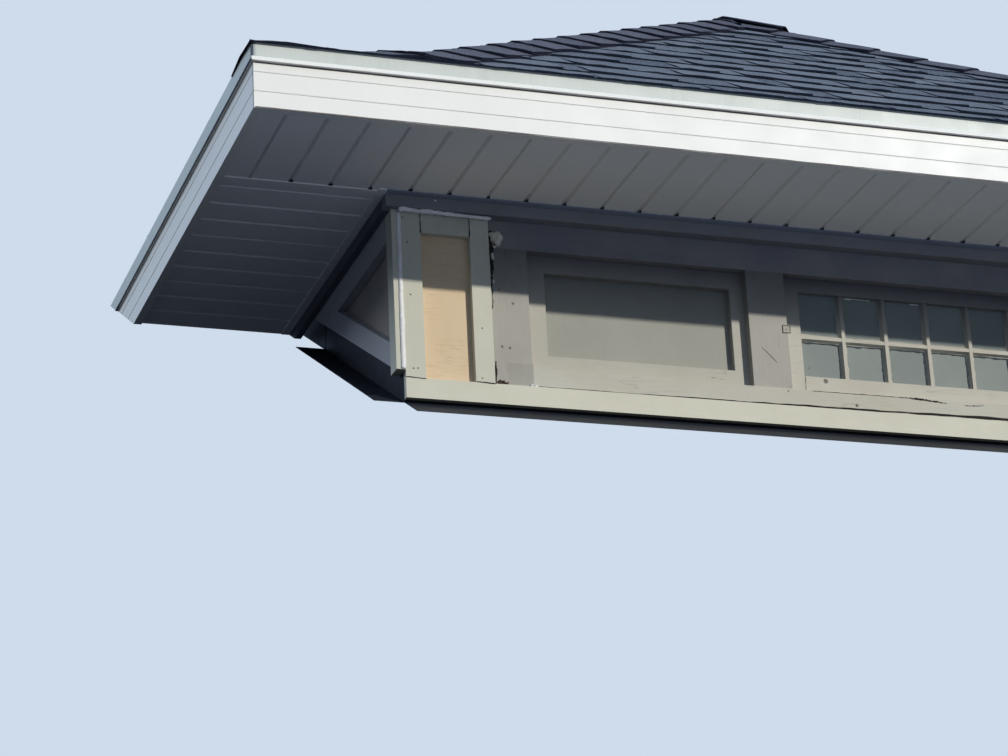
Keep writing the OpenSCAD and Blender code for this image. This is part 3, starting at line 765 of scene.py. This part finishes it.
caps = dict(
    exposure=0.113,      # plan distance between caps along a hip, on each axis
    length=0.2,          # length of a cap, on the same terms
    width=0.136,         # half width of a cap, in plan
    crown=0.02,          # height of a butt above the deck, at the fold
    edge=0.0155,         # the same, at a cap's sides
    drop=0.0105,         # how much lower a cap's upper end lies
    curl=0.006,          # how far the corners of a butt stand up
    body=0.004,          # thickness of a cap
    stray=0.006,         # how far a butt strays from its place
    slant=0.008,         # how much farther on one side than on the other
    rough=(-0.001, 0.0015),  # how uneven a butt is
    corner=0.0055,       # height of the first cap, at the eave's corner
    hump=0.005,          # how far it swells up between there and its end
    flat=0.36,           # share of the other heights that is left near the eave
    flatEnd=0.28,        # distance from the eave where they start to grow again
    flatRun=0.16,        # distance over which they do
    bridge=0.015,        # how far stiff caps stand off where the slope changes
    bridgeRun=0.105,     # and over which distance
    apexStart=0.16,      # the right hip's last cap: its butt, in from the ridge's end
    apexLift=0.034,      # its height above the deck
    apexDrop=0.008,      # how much lower its far end lies
    apexWidth=0.05,      # its half width on the front slope, in plan
    apexTaper=0.25,      # how much narrower its far end is
    apexCurl=0.004,      # how far the corners of its butt hang down
    over=0.045,          # how far it reaches over the ridge
    ridgeStep=0.178,     # distance between caps along the ridge
    ridgeLength=0.3,     # length of those caps
    seed=21,
)


# Caps: u runs across the fold and v from butt to head, and the height is the roof's own
# height under each point plus a lift. The underside keeps out of the curled corners, so
# the butt grows thicker towards its ends.
def capSlabs(x, y, lift, curled):
    top = np.stack([x, y, deckHeight(x, y) + lift], -1)
    drop = np.stack([0 * x, 0 * x, caps["body"] + curled + 0 * x], -1)
    return slabs(top, top - drop)


# Lift of a cap: an arch across, a fall from butt to head and curled corners
def capLift(u, v):
    curled = caps["curl"] * u ** 2 * (1 - v) ** 2
    arch = caps["edge"] + (caps["crown"] - caps["edge"]) * (1 - u ** 2)
    return arch - caps["drop"] * v + curled, curled


# A tone for each cap, for all its points
def capTones(rng, count, u, v):
    return np.repeat(np.clip(rng.normal(0.6, 0.25, count), 0, 1), 2 * u.size * v.size)


def hipCaps(side, rng):
    starts = -roof["lip"] + caps["exposure"] * np.arange(
        int((halfSpan + roof["lip"]) / caps["exposure"]) + 1)
    count = len(starts)
    first = (np.arange(count) == 0)[:, None, None]
    stray = rng.uniform(-caps["stray"], caps["stray"], count)
    start = np.where(first, -roof["lip"], (starts + stray)[:, None, None])
    u, v = grid(13, 5, -1)
    along = np.minimum(start + caps["length"] * v + 0 * u, halfSpan + 0.02)
    slant = rng.uniform(-caps["slant"], caps["slant"], count)[:, None, None] * u * (1 - v)
    reach = np.minimum(caps["width"], np.maximum(along + roof["lip"], 0.0004) * math.sqrt(2))
    out = u * reach / math.sqrt(2)
    bridge = caps["bridge"] * np.exp(-((along - roof["kickRun"]) / caps["bridgeRun"]) ** 2)
    along = along + slant * ~first
    x = np.minimum(-halfSpan + along + out, 0.01 * u - 0.005)
    y = eaveY + along - out
    grown = np.clip((along - caps["flatEnd"]) / caps["flatRun"], 0, 1)
    flat = caps["flat"] + (1 - caps["flat"]) * grown
    lift, curled = [flat * height for height in capLift(u, v)]
    swell = np.minimum(v * caps["length"] * math.sqrt(2) / caps["width"], 1)
    low = caps["corner"] + caps["hump"] * np.sin(math.pi * swell) + 0 * u
    lift = np.where(first, low, lift + bridge)
    lift = lift + rng.uniform(*caps["rough"], lift.shape) * (1 - v)
    lot = capSlabs(side * -x, y, lift, np.where(first, 0, curled))
    return lot, capTones(rng, count, u, v)


# The right hip's last cap lies over the others and reaches past the ridge
def apexCap():
    u, v = grid(13, 8, -1)
    along = halfSpan - caps["apexStart"] + (caps["apexStart"] + caps["over"]) * v
    wide = np.where(u < 0, caps["apexWidth"], caps["width"]) / math.sqrt(2)
    out = u * wide * (1 - caps["apexTaper"] * v)
    lot = capSlabs(halfSpan - along + out, eaveY + along + out,
                   caps["apexLift"] - caps["apexDrop"] * v + 0 * out,
                   caps["apexCurl"] * u ** 2 * (1 - v))
    return lot, np.full(2 * out.size, 0.7)


def layCaps():
    rng = np.random.default_rng(caps["seed"])
    lots, tones = zip(hipCaps(-1, rng), hipCaps(1, rng), apexCap())
    piece = makePiece("hip_cap_shingles", lots, "capGranules", np.concatenate(tones))
    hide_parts("hip_caps")
    ridgeEnd = deckHigh.z / roof["housePitch"]
    count = int((ridgeEnd - deckHigh.y) / caps["ridgeStep"])
    starts = deckHigh.y + 0.01 + caps["ridgeStep"] * np.arange(count)
    u, v = grid(13, 4, -1)
    y = np.minimum(starts[:, None, None] + caps["ridgeLength"] * v + 0 * u, ridgeEnd)
    x = caps["width"] * u + 0 * y
    side = halfSpan - np.sqrt(x ** 2 + roof["fold"] ** 2)
    lift = caps["crown"] - caps["drop"] * v
    top = np.stack([x, y, roofHeight(side) + lift], -1)
    lot = slabs(top, top - (0, 0, caps["body"]))
    piece = makePiece("ridge_cap_shingles", [lot], "capGranules",
                      capTones(rng, count, u, v))
    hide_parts("ridge_cap")


layCaps()
print("caps laid")

# Window

bars = dict(
    columns=10,          # panes across
    crossZ=0.2395,       # height of the level bar's middle
    proud=0.004,         # how far the bars stand behind the sash's face
    under=0.0006,        # how much farther back the level bar stands
    foot=0.0115,         # half width where the putty meets the glass
    profile=[(-1, 0), (-0.82, 0.2), (-0.4, 1), (0.4, 1), (0.82, 0.2), (1, 0)],
    ragged=0.0011,       # how uneven the putty is
    steps=60,            # points along a bar
    crackY=0.0012,       # how far the cracks and painted shadows beside the bars lie before the glass
    thick=0.003,         # thickness of a pane
    lean=(0.0004, 0.0002),   # how far a pane leans, and how far it bulges
    seed=5,
)
paneStep = (glassHigh.x - glassLow.x) / bars["columns"]
barPlaces = glassLow.x + paneStep * np.arange(1, bars["columns"])


# A glazing bar: the profile, in shares of half width and depth, carried along a straight
# line, with the putty's edges made uneven by smoothed noise
def glazingBar(start, end, rng, upright):
    steps = bars["steps"]
    t = np.linspace(0, 1, steps)[:, None]
    width, depth = np.array(bars["profile"]).T
    rag = np.convolve(rng.normal(0, 1, steps * 6), np.ones(3) / 3, "same").reshape(6, steps)
    off = width * bars["foot"] + (np.abs(width) > 0.5) * rag.T * bars["ragged"]
    proud = bars["proud"] + (0 if upright else bars["under"])
    middle = np.asarray(start) + np.subtract(end, start) * t
    points = middle[:, None] + off[..., None] * ((1, 0, 0) if upright else (0, 0, 1))
    points[..., 1] = glassLow.y - (glassLow.y - sashY - proud) * depth
    return ringed(points)


def makeBars():
    rng = np.random.default_rng(bars["seed"])
    cross, foot, y = bars["crossZ"], bars["foot"], glassLow.y - bars["crackY"]
    lots = [glazingBar((x, 0, glassLow.z), (x, 0, glassHigh.z), rng, True)
            for x in barPlaces]
    lots.append(glazingBar((glassLow.x, 0, cross), (glassHigh.x, 0, cross), rng, False))
    makePiece("glazing_bars", lots, "flakingPaint")
    # Dark strips under the level bar and down the left of the bars in the lower panes:
    # partly cracks in the putty and partly painted shadow of the bars
    line = [(glassLow.x, cross - foot), (glassHigh.x, cross - foot)]
    lots = [strip(line, y, 0.0016, 0.0006, rng, 0.0011, 260)]
    lots += [strip([(x, glassLow.z), (x, cross - 0.012)], y, 0.0022, 0.0006, rng, 0.0007, 50)
             for x in barPlaces - foot]
    makePiece("putty_cracks", lots, "seam")


# Panes: one slab in each opening between the bars, leaning a little its own way
def makePanes():
    rng = np.random.default_rng(bars["seed"] + 1)
    k, row = [g.ravel()[:, None, None] for g in
              np.meshgrid(np.arange(bars["columns"]), (0, 1))]
    u, v = grid(5, 5)
    low = np.where(row == 0, glassLow.z, bars["crossZ"] + 0.001)
    high = np.where(row == 0, bars["crossZ"] - 0.001, glassHigh.z)
    x = glassLow.x + (k + 0.01 + 0.98 * u) * paneStep + 0 * v
    z = low + (high - low) * v + 0 * u
    lean = rng.uniform(0, 1, (len(k), 1, 1)) * u + rng.uniform(0, 1, (len(k), 1, 1)) * v
    y = (glassLow.y + 0.0001 + bars["lean"][0] * lean
         + bars["lean"][1] * np.sin(3 * u) * np.sin(3 * v))
    front = np.stack([x, y, z], -1)
    tones = np.repeat(rng.uniform(0, 1, len(k)), 2 * u.size * v.size)
    piece = makePiece("window_panes", [slabs(front, front + (0, bars["thick"], 0))],
                      "dustyGlass", tones)
    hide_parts("window_glass")


makeBars()
makePanes()
print("glazing bars and panes made")

# Small things, at the places where they show. The far half of the front gets the same
# sealant, joints and nails, as its mirror image. Places are x and z on the front.

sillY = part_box("window_sill")[0].y

sealantBeads = dict(
    top=[(-1.7075, 0.4715), (-1.693, 0.4745), (-1.655, 0.4715), (-1.632, 0.4735),
         (-1.59, 0.4715), (-1.52, 0.4698), (-1.4634, 0.4685)],   # along the boards' tops
    topRadius=[0.006, 0.007, 0.0055, 0.0068, 0.0055, 0.0048, 0.0042],
    topY=-0.0862,
    edge=[(-1.7044, 0.470), (-1.7042, 0.36), (-1.7047, 0.25), (-1.7045, 0.16),
          (-1.7050, 0.049)],                                     # beside the corner board
    edgeWidth=[0.0100, 0.0105, 0.011, 0.012, 0.0115],
    lumpy=0.0011,
    seed=31,
)


def makeSealant():
    rng = np.random.default_rng(sealantBeads["seed"])
    lots = []
    for side in (1, -1):
        knots = np.asarray(sealantBeads["top"]) * (side, 1)
        t = np.linspace(0, len(knots) - 1, 70)
        across, up = [np.interp(t, np.arange(len(knots)), knots[:, k]) for k in (0, 1)]
        radius = np.interp(t, np.arange(len(knots)), sealantBeads["topRadius"])
        rag = np.convolve(rng.normal(0, sealantBeads["lumpy"], len(t)), np.ones(3) / 3,
                          "same")
        radius = (radius + rag) * np.minimum(1, 0.35 + 4 * np.minimum(t, t[-1] - t))
        path = np.stack([across, np.full(len(t), sealantBeads["topY"]), up + 0.4 * rag], 1)
        lots.append(tube(path, radius, 10, 1.1))
        edge = np.asarray(sealantBeads["edge"]) * (side, 1)
        lots.append(strip(edge, faceY, sealantBeads["edgeWidth"], 0.0016, rng, 0.00035, 80))
    makePiece("sealant_beads", lots, "sealant", smooth=True)


joints = [                  # dark open joints: face, points, widths, wavering of the edges
    (faceY, [(-1.648, 0.4185), (-1.648, 0.468)], [0.0032, 0.0024], 0.0003),
    (faceY, [(-1.519, 0.4185), (-1.519, 0.468)], [0.0028, 0.0022], 0.0003),
    (faceY, [(-1.6995, 0.0285), (-1.6485, 0.0268)], [0.0022, 0.0034], 0.0004),
    (faceY, [(-1.518, 0.0285), (-1.4695, 0.0272)], [0.0026, 0.0032], 0.0004),
    (oldY, [(-1.4605, 0.447), (-1.459, 0.408), (-1.4585, 0.36), (-1.4605, 0.315),
            (-1.4615, 0.235)], [0.009, 0.008, 0.009, 0.003, 0.0012], 0.0012),
    (oldY, [(-1.4615, 0.093), (-1.462, 0.032)], [0.006, 0.008], 0.001),
    (sillY, [(-1.36, 0.0308), (-0.84, 0.0318), (-0.6, 0.0328), (-0.3, 0.0347),
             (0.0, 0.0362)], [0.002, 0.0028, 0.0042, 0.0054, 0.006], 0.0007),
    (sillY, [(-0.345, 0.0757), (-0.3253, 0.0752), (-0.295, 0.0742), (-0.262, 0.0715),
             (-0.2294, 0.0689)], [0.0008, 0.0036, 0.005, 0.0034, 0.0008], 0.0007),
    (sillY, [(-0.178, 0.0665), (-0.150, 0.0675), (-0.122, 0.0705)],
     [0.0008, 0.0016, 0.0008], 0.0006),
    (sillY, [(-0.61, 0.0753), (-0.47, 0.0757), (-0.345, 0.0757)],
     [0.0009, 0.0011, 0.0011], 0.0004),
    (sashY, [(-0.610, 0.1267), (-0.6115, 0.0892)], [0.0013, 0.0011], 0.0002),
]
scratch = dict(line=[(-0.7378, 0.188), (-0.718, 0.1695), (-0.6991, 0.1499)], width=0.0009)
sillEnd = 0.07              # how far the rounding of a sill's end runs along the wall


def makeJoints():
    rng = np.random.default_rng(32)
    lots = [strip(np.asarray(line) * (side, 1), y, width, 0.0006, rng, waver,
                  12 if len(line) < 3 else 70)
            for side in (1, -1) for y, line, width, waver in joints]
    lots.append(strip(scratch["line"], oldY, scratch["width"], 0.0005, rng, 0.0003, 14))
    makePiece("open_joints", lots, "openJoint")


# The reveal over the panels and window, and triangles that fill in beside the sill's ends
def makeReveals():
    (low, high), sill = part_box("window_header"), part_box("window_sill")
    lots = [blocks([(low.x, low.y, low.z - 0.0006)],
                   [(high.x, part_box("panel_frames")[0].y, low.z + 0.0005)])]
    for side in (1, -1):
        x, y = -side * sill[0].x, oldY + 0.0005
        lots.append(ringed(np.array([
            [(x - side * 0.0005, y, z), (x + side * sillEnd, y, z),
             (x - side * 0.0005, sillY + 0.0001, z)]
            for z in (sill[0].z + 0.0003, sill[1].z - 0.0003)])))
    makePiece("reveals_and_sill_ends", lots, "oldPaint")


nails = dict(
    newBoards=[(-1.680, 0.052), (-1.668, 0.053), (-1.680, 0.248), (-1.694, 0.456),
               (-1.683, 0.390), (-1.497, 0.173), (-1.503, 0.039)],
    radius=0.0021,
    stains=[(-1.4076, 0.2527), (-1.4418, 0.1339), (-1.4218, 0.1314), (-1.4423, 0.2873)],
    stainRadius=0.0038,
    sash=[(-0.5535, 0.1185, 0.0066), (-0.598, 0.152, 0.002)],   # and a radius
    sill=[(-0.487, 0.0441, 0.0044), (-0.676, 0.0702, 0.0022)],
)


def makeNails():
    lots = [dome(side * x, z, faceY, nails["radius"], 0.0007)
            for side in (1, -1) for x, z in nails["newBoards"]]
    makePiece("nail_heads", lots, "rust")
    lots = [dome(side * x, z, oldY, nails["stainRadius"], 0.0006)
            for side in (1, -1) for x, z in nails["stains"]]
    lots += [dome(x, z, y, radius, 0.0006)
             for y, spots in ((sashY, nails["sash"]), (sillY, nails["sill"]))
             for x, z, radius in spots]
    makePiece("stained_spots", lots, "stain")


fillers = dict(             # lumps: x, distance before a face, z, sizes, roughness
    foam=[(-1.4435, 0.004, 0.4250, (0.0165, 0.011, 0.0185), 0.14),
          (-1.4555, 0.003, 0.4345, (0.008, 0.007, 0.006), 0.2),
          (-1.450, 0.002, 0.4035, (0.0055, 0.004, 0.0035), 0.25),
          (-1.4565, 0.002, 0.376, (0.0036, 0.003, 0.011), 0.25),
          (-1.4575, 0.002, 0.309, (0.0028, 0.0025, 0.007), 0.25)],
    debris=[(-1.453, 0.003, 0.0335, (0.0068, 0.006, 0.0058), 0.3),
            (-1.445, 0.003, 0.0349, (0.0068, 0.006, 0.0052), 0.3),
            (-1.437, 0.003, 0.0335, (0.0068, 0.006, 0.0046), 0.3)],
    scraps=[(-1.367, oldY - faceY - 0.005, 0.0305, (0.0125, 0.006, 0.0032), 0.3),
            (-1.611, oldY - friezeLow.y, 0.502, (0.0028, 0.001, 0.0026), 0.1)],
    paneTops=[(-0.478, 0.079, 0.0032), (-0.285, 0.042, 0.0024)],   # x, length and width
    seed=33,
)


# Foam that swelled out beside the trim board, debris on the apron board's top, and scraps
# of paint on that top, on the frieze and along the tops of two panes
def makeFillers():
    rng = np.random.default_rng(fillers["seed"])
    foam, debris, scraps = [[lump((x, oldY - out, z), size, rng, rough)
                             for x, out, z, size, rough in fillers[kind]]
                            for kind in ("foam", "debris", "scraps")]
    scraps += [strip([(x, glassHigh.z - 0.0012), (x + length, glassHigh.z - 0.0008)],
                     glassLow.y - 0.0008, width, 0.0006, rng, 0.001, 30)
               for x, length, width in fillers["paneTops"]]
    makePiece("foam_filler", foam, "foam", smooth=True)
    makePiece("leaf_debris", debris, "rust", smooth=True)
    makePiece("paint_scraps", scraps, "sealant", smooth=True)


latch = dict(low=(-0.675, 0.2335), high=(-0.6535, 0.2545), proud=0.0022, rim=0.0013,
             recess=0.0012, pin=(-0.6642, 0.2442), pinRadius=0.0022)


# Latch: a raised plate on the post with a rim and a pin
def makeLatch():
    front, rim, inset = oldY - latch["proud"], latch["rim"], 0.001
    (x0, z0), (x1, z1) = latch["low"], latch["high"]
    back = oldY + 0.001
    bounds = [(x0, z0, x1, z0 + rim), (x0, z1 - rim, x1, z1),
              (x0, z0, x0 + rim, z1), (x1 - rim, z0, x1, z1)]
    edges = blocks([(a, front, b) for a, b, c, d in bounds],
                   [(c, back, d) for a, b, c, d in bounds])
    makePiece("latch_rim", [edges], "stain")
    face = front + latch["recess"]
    plate = blocks([(x0 + inset, face, z0 + inset)], [(x1 - inset, back, z1 - inset)])
    pin = dome(*latch["pin"], face, latch["pinRadius"], 0.0018)
    makePiece("latch_plate", [plate, pin], "latchPaint")


seams = dict(
    board=0.0006,            # how far a corner's seam stands out over the fascia
    band=0.0046,             # and over the drip edge's band
    lip=0.014,               # height of the drip edge's lip
    foot=(0.0016, 0.0026),   # a brown line's height above the fascia's foot, and width
    under=(-0.0145, 0.0034), # the same, for the line of painted shadow under the lip
    inset=0.004,             # how far the lines end short of the corners
)


# Dark seams at the eave's corners, and brown lines along the front fascia; the one under
# the drip's lip is painted shadow of the lip, in brown
def makeSeams():
    rng = np.random.default_rng(34)
    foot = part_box("front_fascia")[0].z
    lipTop = dripMetal["lipTop"]
    lots = []
    for side in (1, -1):
        for low, high, out in ((foot + 0.0005, lipTop - seams["lip"], seams["board"]),
                               (lipTop + 0.0005, eaveZ - 0.0005, seams["band"])):
            x = sorted((side * -(halfSpan + out), side * -(halfSpan - 0.0006)))
            lots.append(blocks([(x[0], eaveY - out, low)], [(x[1], eaveY + 0.0022, high)]))
    makePiece("corner_seams", lots, "seam")
    end = halfSpan - seams["inset"]
    lots = []
    for base, (up, width) in ((foot, seams["foot"]), (lipTop, seams["under"])):
        line = [(x, base + up) for x in (-end, 0, end)]
        lots.append(strip(line, eaveY, width, 0.0006, rng, 0.0003, 200))
    makePiece("fascia_lines", lots, "footLine")


soffits = dict(
    pitch=0.1016,            # distance between grooves
    first=0.043,             # place of the first one beside the middle
    channel=0.022,           # width of the channel along the wall
    notch=(0.011, 0.016),    # width and depth of a triangle of painted shade
)


# Painted shade: dark triangles where the soffit's grooves run into the channel, for the
# unlit ends of the grooves
def makeGrooveEndShade():
    pitch, first, size = soffits["pitch"], soffits["first"], soffits["notch"]
    wall = friezeLow.y - soffits["channel"]
    count = int((halfSpan - 0.03 - abs(first)) / pitch)
    x = first + pitch * np.arange(-count, count + 1)[:, None]
    near = np.where(abs(x) < halfWall + 0.03, wall, wall + soffits["channel"] / 2)
    across = x + size[0] * np.array([-0.3, 0.7, 0.25])
    y = near - np.array([0.0, 0.0, size[1]])
    lots = [ringed(np.array([np.stack([a, b, np.full(3, soffitZ + d)], -1)
                             for d in (-0.0007, 0.0002)])) for a, b in zip(across, y)]
    makePiece("soffit_notches", lots, "openJoint")


flashingRise = np.array([0.003, 0.119, 0.03, 0.003])   # heights above the roof plane


# The step flashing's far ends, behind the cheek rails: they follow the roof plane
def makeFlashingEnds():
    near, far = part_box("step_flashing")[1].y - 0.02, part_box("side_soffits")[1].y + 0.01
    y = np.array([near, near, far, far])
    z = roof["housePitch"] * y + flashingRise
    lots = [ringed(np.array([np.stack([np.full(4, side * -(halfWall + d)), y, z], -1)
                             for d in (0.0008, -0.0006)])) for side in (1, -1)]
    makePiece("flashing_ends", lots, "flashingMetal")


makeGrooveEndShade()
makeFlashingEnds()
makeSealant()
makeJoints()
makeReveals()
makeNails()
makeFillers()
makeLatch()
makeSeams()
print("small things placed")

# Camera, lights, world and floor

cameraView = dict(place=(-3.8025, -6.8196, -2.7240), heading=19.257, tilt=21.179,
                  roll=-2.904, lens=110.57)


# Looks along heading (clockwise from the Y axis) and tilt, then rolls about that line
def makeCamera():
    heading, tilt, roll = [math.radians(cameraView[k]) for k in ("heading", "tilt", "roll")]
    ahead = Vector((math.sin(heading) * math.cos(tilt), math.cos(heading) * math.cos(tilt),
                    math.sin(tilt)))
    right = Vector((math.cos(heading), -math.sin(heading), 0))
    up = right.cross(ahead)
    rolledRight = math.cos(roll) * right + math.sin(roll) * up
    rolledUp = math.cos(roll) * up - math.sin(roll) * right
    turn = Matrix((rolledRight, rolledUp, -ahead)).transposed().to_4x4()
    data = bpy.data.cameras.new("camera")
    data.sensor_width = 36
    data.lens = cameraView["lens"]
    camera = addObject("camera", data)
    camera.matrix_world = Matrix.Translation(cameraView["place"]) @ turn
    bpy.context.scene.camera = camera


lighting = dict(
    sunAlong=(-0.62, 1.0, -0.49),
    sunStrength=2.55,
    sunSoftness=1.2,                  # degrees
    sunColor=(1.0, 0.965, 0.885),
    fillPlace=(-9.0, 3.5, 5.5),
    fillAim=(0, 0.6, 0.6),
    fillPower=350.0,
    fillSize=5.0,
    fillColor=(0.82, 0.9, 1.0),
    skyColor=(0.54, 0.745, 1.11),
    skyStrength=1.0,
    skyRun=(0.11, 0.68),              # the sky grows from low to full between these
    lowSky=0.06,                      # strength near the horizon
    backdrop=(0.624, 0.714, 0.838),
    floorZ=-0.11,
    floorReach=60,
    floorColor=(0.66, 0.68, 0.70),
    floorShade=(0.31, 0.33, 0.37),     # what it throws back
    floorDeep=(0.004, 0.006, 0.012),   # the same, behind and beside the dormer
    frontRun=(-0.35, -1.2),           # from deep to shade between these places along Y
    sideRun=(-2.8, -0.6),             # and between these along X,
    beside=0.4,                       # starting from this share
)


# A lamp that shines along a direction
def makeLamp(name, kind, power, color, along):
    data = bpy.data.lights.new(name, kind)
    data.energy = power
    data.color = color
    lamp = addObject(name, data)
    lamp.rotation_mode = "QUATERNION"
    lamp.rotation_quaternion = Vector(along).to_track_quat("-Z", "Y")
    return lamp


def makeLights():
    sun = makeLamp("sun", "SUN", lighting["sunStrength"], lighting["sunColor"],
                   lighting["sunAlong"])
    sun.data.angle = math.radians(lighting["sunSoftness"])
    place = Vector(lighting["fillPlace"])
    fill = makeLamp("fill", "AREA", lighting["fillPower"], lighting["fillColor"],
                    Vector(lighting["fillAim"]) - place)
    fill.data.size = lighting["fillSize"]
    fill.location = place
    fill.visible_camera = False


# Rays that should meet the pale studio and not the light that the object gets
def seesStudio(beside):
    path = addNode(beside, "ShaderNodeLightPath").outputs
    return calc("MAXIMUM", path["Is Camera Ray"], path["Is Transmission Ray"])


def makeWorld():
    world = bpy.data.worlds.new("studio")
    world.use_nodes = True
    bpy.context.scene.world = world
    background = world.node_tree.nodes["Background"]
    up = axes(addNode(background, "ShaderNodeTexCoord").outputs["Generated"])[2]
    bright = calc("MULTIPLY_ADD", ramp(up, *lighting["skyRun"]),
                  lighting["skyStrength"] - lighting["lowSky"], lighting["lowSky"])
    sky = blend(bright, (0, 0, 0), lighting["skyColor"])
    feed(background.inputs["Color"], blend(seesStudio(up), sky, lighting["backdrop"]))


# A level floor, pale to the eye and clear from below. It throws back less light, and
# least of all behind and beside the dormer, where a dark roof would be.
def makeFloor():
    material, shader, place = newMaterial("studioFloor")
    x, y = axes(place)[:2]
    ahead = ramp(y, *lighting["frontRun"])
    within = calc("MULTIPLY_ADD", ramp(x, *lighting["sideRun"]), 1 - lighting["beside"],
                  lighting["beside"])
    shade = blend(times(ahead, within), lighting["floorDeep"], lighting["floorShade"])
    color = blend(seesStudio(place), shade, lighting["floorColor"])
    feed(shader.inputs["Base Color"], color)
    feed(shader.inputs["Roughness"], 0.9)
    clear = addNode(place, "ShaderNodeBsdfTransparent").outputs[0]
    back = addNode(place, "ShaderNodeNewGeometry").outputs["Backfacing"]
    mix = addNode(place, "ShaderNodeMixShader", {0: back, 1: shader.outputs[0], 2: clear})
    feed(material.node_tree.nodes["Material Output"].inputs["Surface"], mix.outputs[0])
    marks = np.linspace(-lighting["floorReach"], lighting["floorReach"], 3)
    x, y = np.meshgrid(marks, marks)
    points = np.stack([x, y, np.full_like(x, lighting["floorZ"])], -1).reshape(-1, 3)
    corner = np.array([0, 1, 3, 4])
    mesh = bpy.data.meshes.new("floor")
    mesh.from_pydata(points.tolist(), [], (corner[:, None] + (0, 1, 4, 3)).tolist())
    mesh.materials.append(material)
    addObject("floor", mesh)


makeCamera()
makeLights()
makeWorld()
makeFloor()
bpy.context.scene.view_settings.view_transform = "Standard"
print("studio set")
